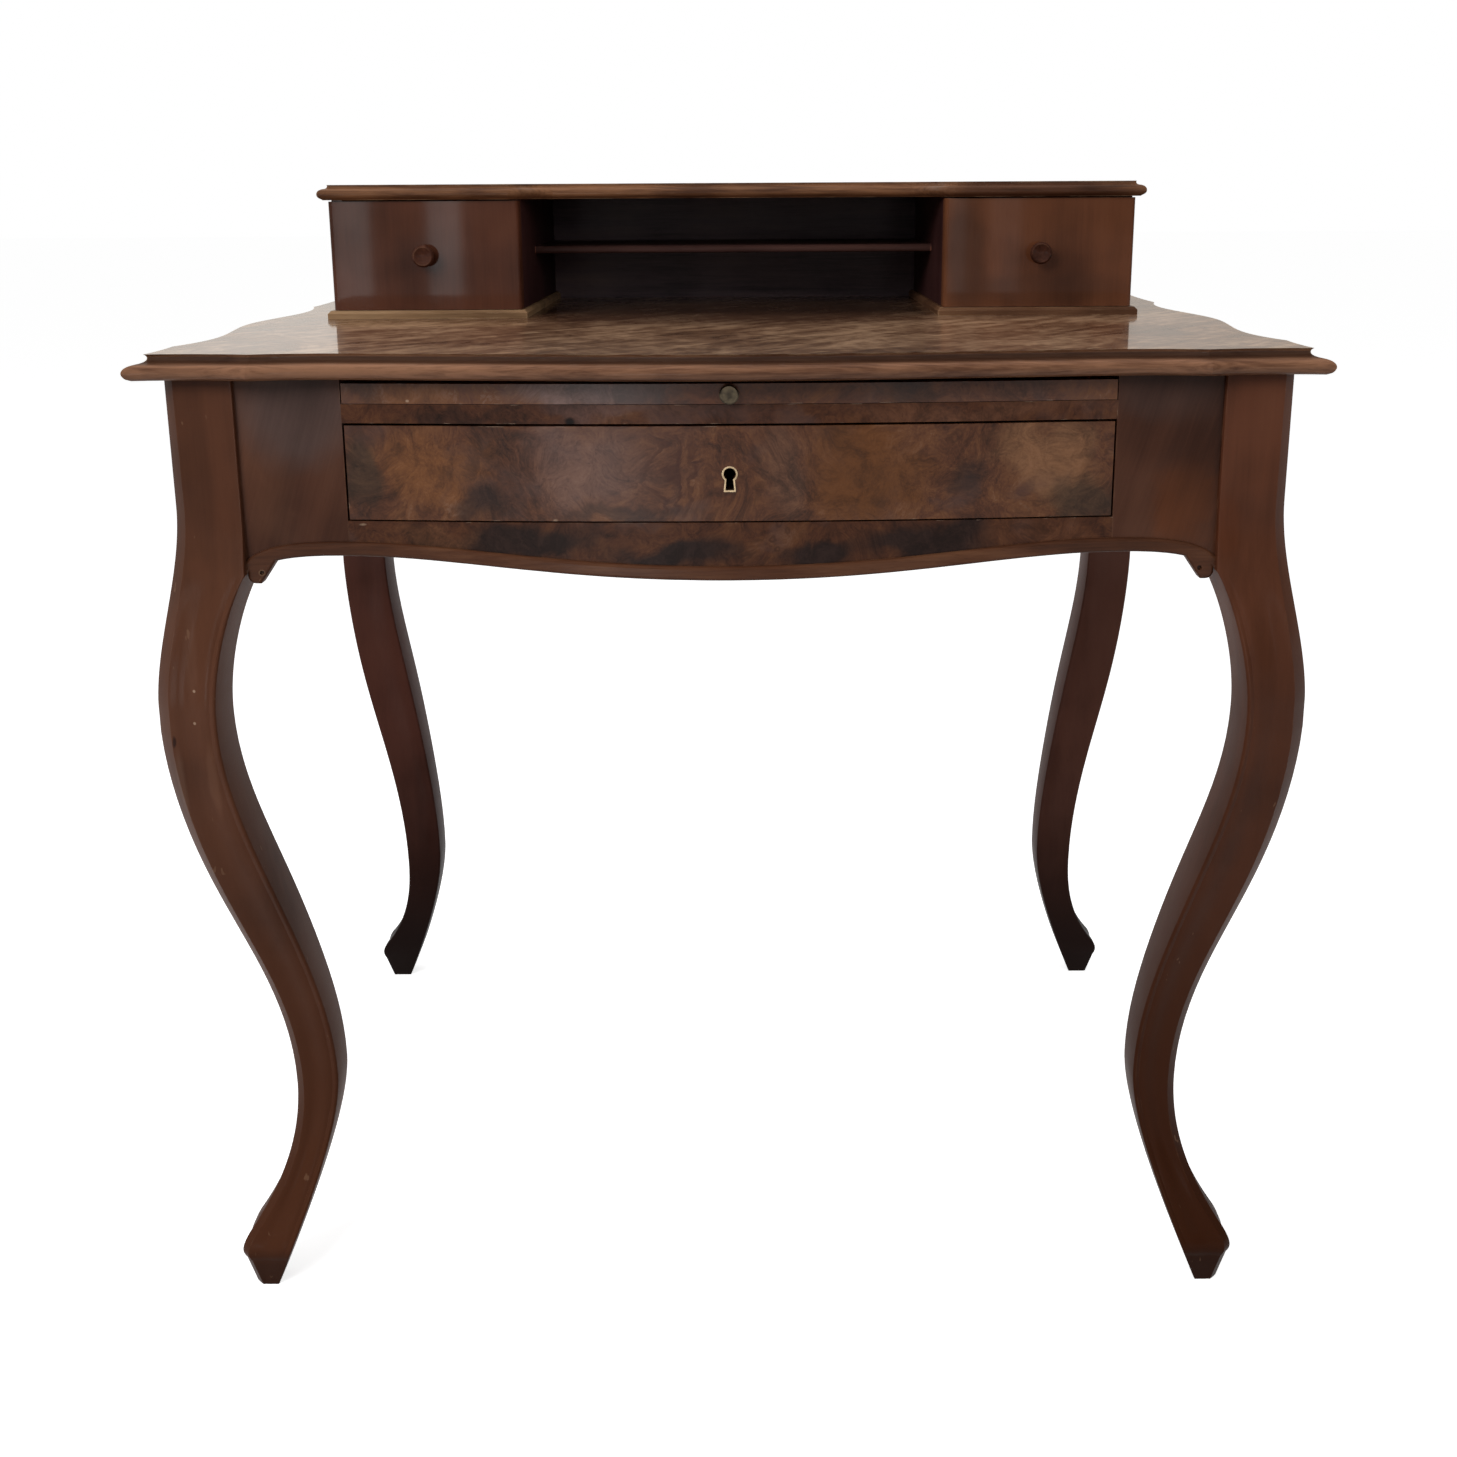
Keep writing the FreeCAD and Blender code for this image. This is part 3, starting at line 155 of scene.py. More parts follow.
class Graph:
    """The node tree of one material or of the surroundings.

    A Mix node has sockets for each kind of data; colour_inputs and colour_output are those for colours.
    """

    colour_inputs = (0, 6, 7)
    colour_output = 2

    def __init__(self, tree: bpy.types.NodeTree) -> None:
        """Start from an empty tree."""
        self.tree = tree
        self.tree.nodes.clear()

    def add(self, kind: str, settings: dict[str, Any] | None = None,
            inputs: dict[str | int, Any] | None = None, output: str | int = 0) -> Value:
        """Add a node.

        Args:
            kind: The node's type.
            settings: Its settings; "stops" are the places and colours of a ramp.
            inputs: Values or links by socket name or number.
            output: The socket that is handed back.

        Returns:
            The chosen output.
        """
        node = self.tree.nodes.new(kind)
        for name, value in (settings or {}).items():
            if name == "stops":
                self.set_stops(node.color_ramp, value)
            else:
                setattr(node, name, value)
        for name, value in (inputs or {}).items():
            self.connect(node.inputs[name], value)
        return Value(self, node.outputs[output] if node.outputs else None)

    def connect(self, socket: bpy.types.NodeSocket, value: Any) -> None:
        """Set a socket from a number, a colour, a vector or a link.

        Args:
            socket: The input socket.
            value: What it takes.
        """
        if isinstance(value, Value):
            self.tree.links.new(value.socket, socket)
        elif socket.type == "RGBA":
            socket.default_value = (*value[:3], 1.0)
        else:
            socket.default_value = value

    @staticmethod
    def set_stops(ramp: bpy.types.ColorRamp, stops: Sequence[tuple[float, Colour]]) -> None:
        """Give a colour ramp its stops.

        Args:
            ramp: The ramp.
            stops: Places and colours in rising order.
        """
        while len(ramp.elements) < len(stops):
            ramp.elements.new(1.0)
        for element, (place, colour) in zip(ramp.elements, stops):
            element.position = place
            element.color = (*colour, 1.0)

    def colours(self, tone: Value, *stops: tuple[float, Colour]) -> Value:
        """Turn a tone from 0 to 1 into a colour, through stops in rising order."""
        return self.add("ShaderNodeValToRGB", {"stops": stops}, {"Fac": tone}, "Color")

    def math(self, operation: str, *operands: "Value | float") -> Value:
        """Add a Math node with its inputs in order."""
        return self.add("ShaderNodeMath", {"operation": operation}, dict(enumerate(operands)))

    def vector_math(self, operation: str, *operands: Any, output: str = "Vector") -> Value:
        """Add a Vector Math node with its inputs in order; the output "Value" is for a number."""
        return self.add("ShaderNodeVectorMath", {"operation": operation}, dict(enumerate(operands)), output)

    def mix(self, share: Value, first: Any, second: Any) -> Value:
        """Mix two colours or links; a share of 0 gives the first and 1 the second."""
        inputs = dict(zip(self.colour_inputs, (share, first, second)))
        return self.add("ShaderNodeMix", {"data_type": "RGBA"}, inputs, self.colour_output)

    def noise(self, place: Value, scale: float, detail: float = 3.0, roughness: float = 0.5,
              distortion: float = 0.0, output: str = "Fac") -> Value:
        """Return noise with so many features per metre, with finer layers and swirls."""
        inputs = {"Vector": place, "Scale": scale, "Detail": detail, "Roughness": roughness,
                  "Distortion": distortion}
        return self.add("ShaderNodeTexNoise", None, inputs, output)

    def place(self, offset: Sequence[float] = (0, 0, 0), stretch: Sequence[float] = (1, 1, 1),
              turn: Sequence[float] = (0, 0, 0)) -> Value:
        """Return the piece's own coordinates in metres, for a pattern that is stretched, turned and moved.

        Args:
            offset: How far the pattern moves.
            stretch: How many times longer it is along each of its axes.
            turn: How far its axes are turned.

        Returns:
            The coordinates.
        """
        own = self.add("ShaderNodeTexCoord", None, None, "Object")
        inputs = {"Vector": own, "Location": offset, "Rotation": turn, "Scale": stretch}
        return self.add("ShaderNodeMapping", {"vector_type": "TEXTURE"}, inputs)

    def axes(self, vector: Value) -> tuple[Value, Value, Value]:
        """Return the three parts of a vector."""
        return tuple(self.add("ShaderNodeSeparateXYZ", None, {0: vector}, axis) for axis in "XYZ")

    def warped(self, place: Value, scale: float, reach: float, detail: float = 2.0) -> Value:
        """Push a place about by noise.

        Args:
            place: The place.
            scale: Features per metre of the push.
            reach: The furthest push.
            detail: Finer layers of the push.

        Returns:
            The pushed place.
        """
        push = self.noise(place, scale, detail, output="Color")
        centred = self.vector_math("SUBTRACT", push, (0.5, 0.5, 0.5))
        return self.vector_math("ADD", place, self.vector_math("MULTIPLY", centred, (2 * reach,) * 3))

    def contrast(self, *layers: tuple[Value, float]) -> Value:
        """Add layers of noise about a middle of a half.

        Args:
            layers: Each layer with its strength.

        Returns:
            The sum, a half where every layer is a half.
        """
        total = 0.5 - 0.5 * sum(strength for _, strength in layers)
        for layer, strength in layers:
            total = layer * strength + total
        return total

    def blot(self, place: Value, centre: Sequence[float], reach: Sequence[float]) -> Value:
        """Return a soft blot.

        Args:
            place: Where it is read.
            centre: Its middle.
            reach: Its half sizes.

        Returns:
            1 at its middle, falling to 0 outside.
        """
        away = self.vector_math("SUBTRACT", place, centre)
        share = self.vector_math("DIVIDE", away, reach)
        return self.vector_math("LENGTH", share, output="Value").ramp(*BLOT_FADE)

    def cloud_share(self, cloud: Cloud, place: Value) -> Value:
        """Return how strongly a cloud lies on an upright face.

        Args:
            cloud: The cloud.
            place: Where it is read.

        Returns:
            The cloud's strength at its middle, falling to 0 outside.
        """
        flat = self.vector_math("MULTIPLY", place, (1.0, 0.0, 1.0))
        centre = (cloud.centre[0], 0.0, cloud.centre[1])
        reach = (cloud.reach[0], 1.0, cloud.reach[1])
        return self.blot(flat, centre, reach) * cloud.strength

    def lay_clouds(self, clouds: Sequence[Cloud], colour: Value, tone: Value) -> Value:
        """Lay clouds over a figure, broken up by it.

        Args:
            clouds: The clouds.
            colour: The figure's colour.
            tone: The figure's lightness.

        Returns:
            The colour with the clouds.
        """
        own = self.place()
        for cloud in clouds:
            ragged = self.warped(own, 14.0, 0.03 * cloud.raggedness, 3.0)
            ragged = self.warped(ragged, 70.0, 0.008 * cloud.raggedness)
            darker, brighter = (tuple(level * tint for level in cloud.colour) for tint in CLOUD_TINTS)
            tinted = self.mix(tone.ramp(0.2, 0.8), darker, brighter)
            colour = self.mix(self.cloud_share(cloud, ragged), colour, tinted)
        return colour

    def facing(self, direction: "Value | Place") -> Value:
        """Return how far the surface looks a given way, 1 for straight that way and -1 for away."""
        normal = self.add("ShaderNodeNewGeometry", None, None, "Normal")
        return self.vector_math("DOT_PRODUCT", normal, direction, output="Value")

    def edge_mask(self, radius: float) -> Value:
        """Return a mask from 0 to 1, strong within a radius in metres of the arrises of a piece."""
        rounded = self.add("ShaderNodeBevel", {"samples": 6}, {"Radius": radius})
        return (1 - self.facing(rounded)).ramp(0.01, 0.2)

    def light_path(self) -> tuple[Value, Value]:
        """Tell the rays that show a surface from those that light others.

        Returns:
            1 for rays that show it straight, as sheen or through glass, and 1 for the rays of sheen alone.
        """
        names = ("Is Camera Ray", "Is Glossy Ray", "Is Transmission Ray")
        camera, glossy, through = (self.add("ShaderNodeLightPath", None, None, name) for name in names)
        return camera.math("MAXIMUM", glossy).math("MAXIMUM", through), glossy

    def surface(self, colour: Value, gloss: Value, relief: tuple[Value, float, float],
                constants: dict[str, float], coat: Value | None = None) -> None:
        """Finish the tree with a Principled shader.

        Args:
            colour: Its colour.
            gloss: Its roughness.
            relief: The height of its bumps, with their strength and their depth in metres.
            constants: Sockets that are the same all over.
            coat: The weight of its varnish, if it has any.
        """
        height, strength, depth = relief
        bump = self.add("ShaderNodeBump", None, {"Strength": strength, "Distance": depth, "Height": height})
        inputs = {**constants, "Base Color": colour, "Roughness": gloss, "Normal": bump}
        if coat is not None:
            inputs.update({"Coat Weight": coat, "Coat IOR": VARNISH_IOR})
        shader = self.add("ShaderNodeBsdfPrincipled", None, inputs)
        self.add("ShaderNodeOutputMaterial", None, {"Surface": shader})


class Grain(Enum):
    """Which way the fibres of a board run, with the stretch of its figure along each axis."""

    ACROSS = (18.0, 1.0, 1.0)
    DEEP = (1.0, 18.0, 1.0)
    UPRIGHT = (1.0, 1.0, 18.0)


@dataclass(frozen=True)
class Finish:
    """A finish that can be made into a material for one board after another."""

    name: str
    seed_step: Place = (1.0, 1.0, 1.0)

    def offset(self, seed: float) -> Place:
        """Return how far a board's seed moves its figure."""
        return tuple(seed * step for step in self.seed_step)

    def paint(self, graph: Graph, seed: float) -> None:
        """Draw the finish's nodes; each finish has its own."""
        raise NotImplementedError

    def material(self, seed: float) -> bpy.types.Material:
        """Return the finish as a material.

        Args:
            seed: Moves the figure, so that two boards differ.

        Returns:
            The material, made once for each seed.
        """
        name = f"{self.name}_{seed:g}"
        found = bpy.data.materials.get(name)
        if found:
            return found
        material = bpy.data.materials.new(name)
        material.use_nodes = True
        self.paint(Graph(material.node_tree), seed)
        return material


@dataclass(frozen=True)
class Walnut(Finish):
    """Polished straight-grained walnut with streaks, pores, nicks and worn arrises, with painted shade
    towards the floor.
    """

    seed_step: Place = (1.37, 0.71, 2.13)
    dark: Colour = shade(44, 23, 15)
    body: Colour = shade(73, 42, 29)
    light: Colour = shade(98, 62, 45)
    worn: Colour = shade(128, 96, 74)
    # The next two colours are painted shade that the legs darken to towards the floor and at the floor.
    foot_shade: Colour = shade(58, 30, 17)
    sole: Colour = shade(22, 11, 7)
    grain: Grain = Grain.UPRIGHT
    wear: float = 0.35
    nicks: float = 0.0
    roughness: float = 0.42
    coat: float = 0.14
    coat_roughness: float = 0.16
    figure_scale: float = 60.0
    fibre_scale: float = 420.0
    pore_scale: float = 1500.0
    nick_scale: float = 130.0
    figure: float = 0.7
    fibre: float = 0.35
    tilt: float = 0.0
    # Strength and heights of the painted shade towards the floor.
    floor_shade: float = 0.0
    floor_shade_top: float = 0.5
    floor_shade_full: float = 0.04
    sole_shade_fade: Point = (0.040, 0.018)
    sole_shade: float = 0.45
    arris_width: float = 0.0022
    clouds: tuple[Cloud, ...] = ()

    def paint(self, graph: Graph, seed: float) -> None:
        """Draw streaks along the grain, pores, nicks, worn arrises and a satin polish.

        Args:
            graph: The finish's nodes.
            seed: Moves the figure.
        """
        offset = self.offset(seed)
        even = graph.place(offset)
        along = graph.place(offset, self.grain.value, (0.0, self.tilt, 0.0))
        bent = graph.warped(along, 7.0, 0.008)
        streaks = graph.noise(bent, self.figure_scale, 5.0, 0.55, 0.4)
        fibre = graph.noise(bent, self.fibre_scale, 3.0, 0.6)
        cloud = graph.noise(even, 7.0, 3.0)
        pores = graph.noise(bent, self.pore_scale, 1.0).ramp(0.60, 0.74)
        tone = graph.contrast((streaks, self.figure), (fibre, self.fibre), (cloud, 1.0))
        colour = graph.colours(tone, (0.22, self.dark), (0.5, self.body), (0.78, self.light))
        colour = graph.mix(pores * (0.8 * self.fibre), colour, self.dark)
        colour = graph.lay_clouds(self.clouds, colour, tone)
        across, _, height = graph.axes(graph.place())
        # Painted shade: darker towards the floor and darkest at the floor, as the light falls from above.
        colour = graph.mix(height.ramp(self.floor_shade_top, self.floor_shade_full) * self.floor_shade, colour, self.foot_shade)
        colour = graph.mix(height.ramp(*self.sole_shade_fade) * self.sole_shade, colour, self.sole)
        rubbed = graph.noise(even, 60.0, 4.0).ramp(0.42, 0.68)
        arrises = graph.edge_mask(self.arris_width) * rubbed * self.wear
        longer = graph.place(offset, (1.0, 1.0, 2.5))
        chips = graph.noise(longer, self.nick_scale, 2.0, 0.6).ramp(0.71, 0.76)
        worn = arrises.math("MAXIMUM", chips * self.nicks)
        colour = graph.mix(worn, colour, self.worn)
        outward = (graph.facing((1, 0, 0)) * across.math("SIGN")).ramp(-0.8, 0.0)
        smears = graph.noise(even, 18.0, 4.0, 0.6)
        gloss = smears * 0.16 + (self.roughness - 0.08) + worn * 0.15
        polish = (outward * 0.9 + 0.1) * (height.ramp(0.05, 0.58) * 0.7 + 0.3)
        relief = (fibre * 0.5 - pores * 0.7, 0.12, 0.0004)
        constants = {"Specular IOR Level": 0.02, "Coat Roughness": self.coat_roughness}
        graph.surface(colour, gloss, relief, constants, (smears + 0.5) * polish * self.coat)


@dataclass(frozen=True)
class BurlVeneer(Finish):
    """Burl walnut veneer: soft patches of gold, brown and grey with curls, flames and small eyes."""

    seed_step: Place = (0.83, 0.0, 0.47)
    dark: Colour = shade(42, 26, 20)
    body: Colour = shade(84, 52, 37)
    gold: Colour = shade(106, 69, 46)
    pale: Colour = shade(128, 94, 74)
    grey: Colour = shade(82, 62, 57)
    chipped: Colour = shade(160, 136, 118)
    roughness: float = 0.34
    sheen: float = 0.17
    broad_scale: float = 12.0
    mottle_scale: float = 46.0
    curl_scale: float = 150.0
    flake_scale: float = 480.0
    eye_scale: float = 95.0
    flame_scale: float = 620.0
    arris_width: float = 0.0014
    clouds: tuple[Cloud, ...] = ()
    flames: Cloud | None = None

    def paint(self, graph: Graph, seed: float) -> None:
        """Draw patches, curls, eyes and chipped arrises on a twice-warped face.

        Args:
            graph: The finish's nodes.
            seed: Moves the figure.
        """
        own = graph.place(self.offset(seed))
        place = graph.vector_math("MULTIPLY", own, (1.0, 0.0, 1.0))
        slow = graph.warped(place, 9.0, 0.05)
        swirl = graph.warped(slow, 30.0, 0.015, 3.0)
        broad = graph.noise(slow, self.broad_scale, 3.0, 0.5)
        mottle = graph.noise(swirl, self.mottle_scale, 4.0, 0.6, 1.2)
        curls = graph.noise(swirl, self.curl_scale, 3.0, 0.55, 2.4)
        flakes = graph.noise(place, self.flake_scale, 2.0, 0.6)
        tone = graph.contrast((broad, 0.95), (mottle, 0.95), (curls, 0.5), (flakes, 0.25))
        stops = ((0.16, self.dark), (0.46, self.body), (0.68, self.gold), (0.92, self.pale))
        colour = graph.colours(tone, *stops)
        greyed = graph.noise(graph.warped(place, 20.0, 0.03, 3.0), 17.0, 3.0, 0.55).ramp(0.52, 0.68)
        colour = graph.mix(greyed * 0.5, colour, self.grey)
        inputs = {"Vector": swirl, "Scale": self.eye_scale}
        cells = graph.add("ShaderNodeTexVoronoi", None, inputs, "Distance")
        near_eyes = graph.noise(slow, 15.0, 2.0).ramp(0.50, 0.60)
        rings = cells.ramp(0.10, 0.22) * cells.ramp(0.46, 0.30)
        colour = graph.mix(rings * near_eyes * 0.35, colour, self.dark)
        colour = graph.lay_clouds(self.clouds, colour, tone)
        if self.flames:
            colour = self.lay_flames(graph, swirl, mottle, colour)
        chips = graph.edge_mask(self.arris_width) * graph.noise(own, 60.0, 3.0).ramp(0.60, 0.68)
        colour = graph.mix(chips * 0.7, colour, self.chipped)
        smears = graph.noise(place, 16.0, 4.0, 0.6)
        gloss = smears * 0.14 + (self.roughness - 0.07)
        relief = (curls * 0.4 + flakes * 0.3 - chips * 0.8, 0.08, 0.0004)
        constants = {"Specular IOR Level": 0.05, "Coat Roughness": 0.2}
        graph.surface(colour, gloss, relief, constants, (smears + 0.5) * self.sheen)

    def lay_flames(self, graph: Graph, swirl: Value, mottle: Value, colour: Value) -> Value:
        """Lay dark wavy lines over a stretch of the figure.

        Args:
            graph: The finish's nodes.
            swirl: The warped place that the lines follow.
            mottle: Noise that pushes the lines about.
            colour: The figure's colour.

        Returns:
            The colour with the lines.
        """
        across, _, _ = graph.axes(swirl)
        wave = (across * self.flame_scale + mottle * 14.0).math("SINE") * 0.5 + 0.5
        share = graph.cloud_share(self.flames, graph.place()) * wave.ramp(0.45, 0.95)
        return graph.mix(share, colour, self.flames.colour)


@dataclass(frozen=True)
class PolishedTop(Finish):
    """Glossy scratched walnut of a top board, with a plainer golden moulded edge."""

    seed_step: Place = (1.1, 0.6, 1.0)
    dark: Colour = shade(60, 38, 27)
    body: Colour = shade(107, 77, 57)
    light: Colour = shade(164, 131, 103)
    edge_dark: Colour = shade(82, 53, 38)
    edge: Colour = shade(135, 96, 72)
    # Painted shade for the hollow under the arris.
    cove_shade: Colour = shade(46, 28, 20)
    worn: Colour = shade(186, 156, 124)
    # Colour of the painted glint on the left ear.
    ear_glint_colour: Colour = shade(222, 208, 190)
    slant: float = 0.85
    fleck_scale: float = 64.0
    patch_scale: float = 72.0
    fibre_scale: float = 380.0
    scratch_slant: float = 0.8
    scratch_scale: float = 260.0
    arris_width: float = 0.002
    coat: float = 0.62
    rim_coat: float = 0.14
    cove_height: Point = (0.0, 0.0)
    cove_fade: Point = (0.0012, 0.0008)
    # Strength of the painted shade in front of the bay; it also scales the painted glint on the left ear.
    bay_shade_and_glint: float = 0.0
    bay_shade_blot: Blot = ((0.0, 0.10, 0.75), (0.25, 0.20, 1.0))
    left_ear: Blot = ((-0.41, -0.30, 0.7595), (0.10, 0.04, 0.03))
    clouds: tuple[Cloud, ...] = ()

    def paint(self, graph: Graph, seed: float) -> None:
        """Draw slanting flecks and scratches on the flat and a plainer golden edge round it.

        Args:
            graph: The finish's nodes.
            seed: Moves the figure.
        """
        offset = self.offset(seed)
        even = graph.place(offset)
        own = graph.place()
        slanted = graph.place(offset, (5.0, 1.0, 1.0), (0.0, 0.0, self.slant))
        flecks = graph.noise(graph.warped(slanted, 10.0, 0.03), self.fleck_scale, 5.0, 0.6, 0.6)
        longer = graph.place(offset, (1.0, 1.5, 1.0))
        patches = graph.noise(graph.warped(longer, 9.0, 0.05), self.patch_scale, 5.0, 0.62)
        fibre = graph.noise(graph.place(offset, Grain.ACROSS.value), self.fibre_scale, 3.0, 0.6)
        cloud = graph.noise(graph.warped(even, 6.0, 0.05), 7.0, 3.0)
        tone = graph.contrast((flecks, 1.15), (patches, 0.9), (fibre, 0.6), (cloud, 1.1))
        flat = graph.colours(tone, (0.14, self.dark), (0.48, self.body), (0.84, self.light))
        crossed = graph.place(offset, (12.0, 1.0, 1.0), (0.0, 0.0, self.scratch_slant))
        crossed = graph.warped(crossed, 20.0, 0.006)
        scratches = graph.noise(crossed, self.scratch_scale, 2.0, 0.5).ramp(0.63, 0.71)
        rubbed = graph.noise(even, 9.0, 3.0).ramp(0.50, 0.62)
        flat = graph.mix(scratches * rubbed * 0.7, flat, self.worn)
        # Painted shade and reflection: the flat darkened in front of the bay.
        flat = graph.mix(graph.blot(own, *self.bay_shade_blot) * self.bay_shade_and_glint, flat, self.dark)
        edge_tone = graph.contrast((fibre, 1.0), (cloud, 1.4))
        rim = graph.mix(edge_tone.ramp(0.15, 0.8), self.edge_dark, self.edge)
        _, _, height = graph.axes(own)
        # Painted shade: the hollow under the arris darkened.
        low, high = self.cove_height
        under, soft = self.cove_fade
        in_cove = height.ramp(low - under, low + soft) * height.ramp(high + soft, high - soft)
        rim = graph.mix(in_cove * 0.85, rim, self.cove_shade)
        rim = graph.lay_clouds(self.clouds, rim, edge_tone)
        upward = graph.facing((0, 0, 1)).ramp(0.97, 0.995)
        colour = graph.mix(upward, rim, flat)
        arrises = graph.edge_mask(self.arris_width)
        worn = arrises * graph.noise(even, 48.0, 4.0).ramp(0.40, 0.66) * 0.6
        colour = graph.mix(worn, colour, self.worn)
        # Painted glint: a pale reflection on the left-facing faces of the left ear.
        leftward = graph.facing((-1, 0, 0)).ramp(0.3, 0.9)
        ear_glint_mask = graph.blot(own, *self.left_ear) * leftward * graph.noise(even, 130.0, 3.0).ramp(0.3, 0.6)
        colour = graph.mix(ear_glint_mask * (1 - upward) * self.bay_shade_and_glint, colour, self.ear_glint_colour)
        haze = graph.noise(even, 14.0, 4.0, 0.6)
        gloss = haze * 0.16 + 0.30
        constants = {"Specular IOR Level": 0.05, "Coat Roughness": 0.07}
        coat = upward * (self.coat - self.rim_coat) + self.rim_coat
        graph.surface(colour, gloss, (fibre, 0.05, 0.0003), constants, coat)


@dataclass(frozen=True)
class PlainWood(Finish):
    """Unpolished pale wood of drawer boxes and runners, with age marks."""

    seed_step: Place = (0.9, 1.3, 0.4)
    dark: Colour = shade(104, 74, 47)
    body: Colour = shade(142, 106, 70)
    light: Colour = shade(168, 132, 92)
    grain: Grain = Grain.DEEP
    figure_scale: float = 70.0
    fibre_scale: float = 520.0

    def paint(self, graph: Graph, seed: float) -> None:
        """Draw plain streaks, saw marks and dirt.

        Args:
            graph: The finish's nodes.
            seed: Moves the figure.
        """
        offset = self.offset(seed)
        even = graph.place(offset)
        along = graph.warped(graph.place(offset, self.grain.value), 6.0, 0.01)
        figure = graph.noise(along, self.figure_scale, 5.0, 0.55, 0.3)
        fibre = graph.noise(along, self.fibre_scale, 2.0, 0.6)
        dirt = graph.noise(even, 9.0, 4.0, 0.6)
        tone = figure * 0.66 + fibre * 0.22 + dirt * 0.2 - 0.04
        colour = graph.colours(tone, (0.32, self.dark), (0.54, self.body), (0.76, self.light))
        colour = graph.mix(dirt.ramp(0.55, 0.75) * 0.35, colour, self.dark)
        graph.surface(colour, fibre * 0.1 + 0.62, (fibre, 0.2, 0.0005), {"Specular IOR Level": 0.2})


@dataclass(frozen=True)
class AgedMetal(Finish):
    """Metal with a dull patina and fine scratches."""

    seed_step: Place = (1.0, 0.3, 0.7)
    bright: Colour = shade(150, 138, 104)
    dull: Colour = shade(92, 84, 62)
    roughness: float = 0.38
    patina_scale: float = 240.0
    scratch_scale: float = 2600.0
    arris_width: float = 0.0006

    def paint(self, graph: Graph, seed: float) -> None:
        """Draw patina in clouds, brighter on the arrises.

        Args:
            graph: The finish's nodes.
            seed: Moves the figure.
        """
        place = graph.place(self.offset(seed))
        patina = graph.noise(place, self.patina_scale, 4.0, 0.6)
        scratches = graph.noise(graph.place((seed, 0, 0), (1.0, 1.0, 0.08)), self.scratch_scale, 2.0)
        rubbed = graph.edge_mask(self.arris_width)
        colour = graph.mix(patina.ramp(0.35, 0.7), self.bright, self.dull)
        colour = graph.mix(rubbed * 0.5, colour, self.bright)
        gloss = patina * 0.25 + (self.roughness - 0.1)
        graph.surface(colour, gloss, (scratches, 0.1, 0.0002), {"Metallic": 0.85})


@dataclass(frozen=True)
class PaleFloor(Finish):
    """White floor that keeps a soft shadow and throws little light back."""

    shown: Colour = (0.9, 0.9, 0.9)
    bounce: Colour = (0.30, 0.27, 0.25)
    lift: float = 0.72

    def paint(self, graph: Graph, seed: float) -> None:
        """Draw a pale matt floor, lifted towards white where it is seen.

        Args:
            graph: The finish's nodes.
            seed: Not used, as the floor has no figure.
        """
        seen, _ = graph.light_path()
        matt = graph.add("ShaderNodeBsdfDiffuse", None, {"Color": graph.mix(seen, self.bounce, self.shown)})
        glow = graph.add("ShaderNodeEmission", None, {"Color": (1, 1, 1), "Strength": seen * self.lift})
        both = graph.add("ShaderNodeAddShader", None, {0: matt, 1: glow})
        graph.add("ShaderNodeOutputMaterial", None, {"Surface": both})


SHADOW_BROWN = shade(40, 28, 25)
OLIVE_BROWN = shade(54, 43, 34)
GOLD_BROWN = shade(112, 71, 40)
# Pale grey of a painted reflection.
SHEEN_GREY = shade(104, 82, 76)
CHIP_PALE = shade(150, 124, 104)
CHIP_RAGGEDNESS = 0.05


def chip(centre: Point, reach: Point = (0.0013, 0.0013), strength: float = 0.9) -> Cloud:
    """Return a small pale chip in an upright face."""
    return Cloud(centre, reach, CHIP_PALE, strength, CHIP_RAGGEDNESS)


BURL_FLAMES = Cloud((-0.041, 0.6805), (0.026, 0.042), shade(56, 28, 22), 0.6)
DRAWER_CLOUDS = (
    Cloud((-0.217, 0.6885), (0.048, 0.028), GOLD_BROWN, 0.5),
    # Painted reflection: a pale grey sheen band over the drawer's left half.
    Cloud((-0.108, 0.6885), (0.052, 0.034), SHEEN_GREY, 0.45),
    Cloud((0.033, 0.6865), (0.022, 0.036), shade(106, 80, 66), 0.35),
    Cloud((0.100, 0.6845), (0.054, 0.038), shade(88, 53, 28), 0.9, 1.5),
    Cloud((0.225, 0.6865), (0.046, 0.030), shade(118, 84, 60), 0.75, 1.5),
    Cloud((-0.268, 0.6865), (0.013, 0.024), OLIVE_BROWN, 0.7),
    Cloud((-0.182, 0.6585), (0.026, 0.015), SHADOW_BROWN, 0.75),
    Cloud((-0.075, 0.6545), (0.055, 0.009), SHADOW_BROWN, 0.6),
    Cloud((0.172, 0.6705), (0.014, 0.018), SHADOW_BROWN, 0.6),
    Cloud((0.256, 0.6615), (0.034, 0.016), OLIVE_BROWN, 0.7),
    chip((-0.1778, 0.7168), (0.004, 0.0012), 0.8),
    chip((-0.1266, 0.6478), (0.002, 0.0012), 0.8),
)
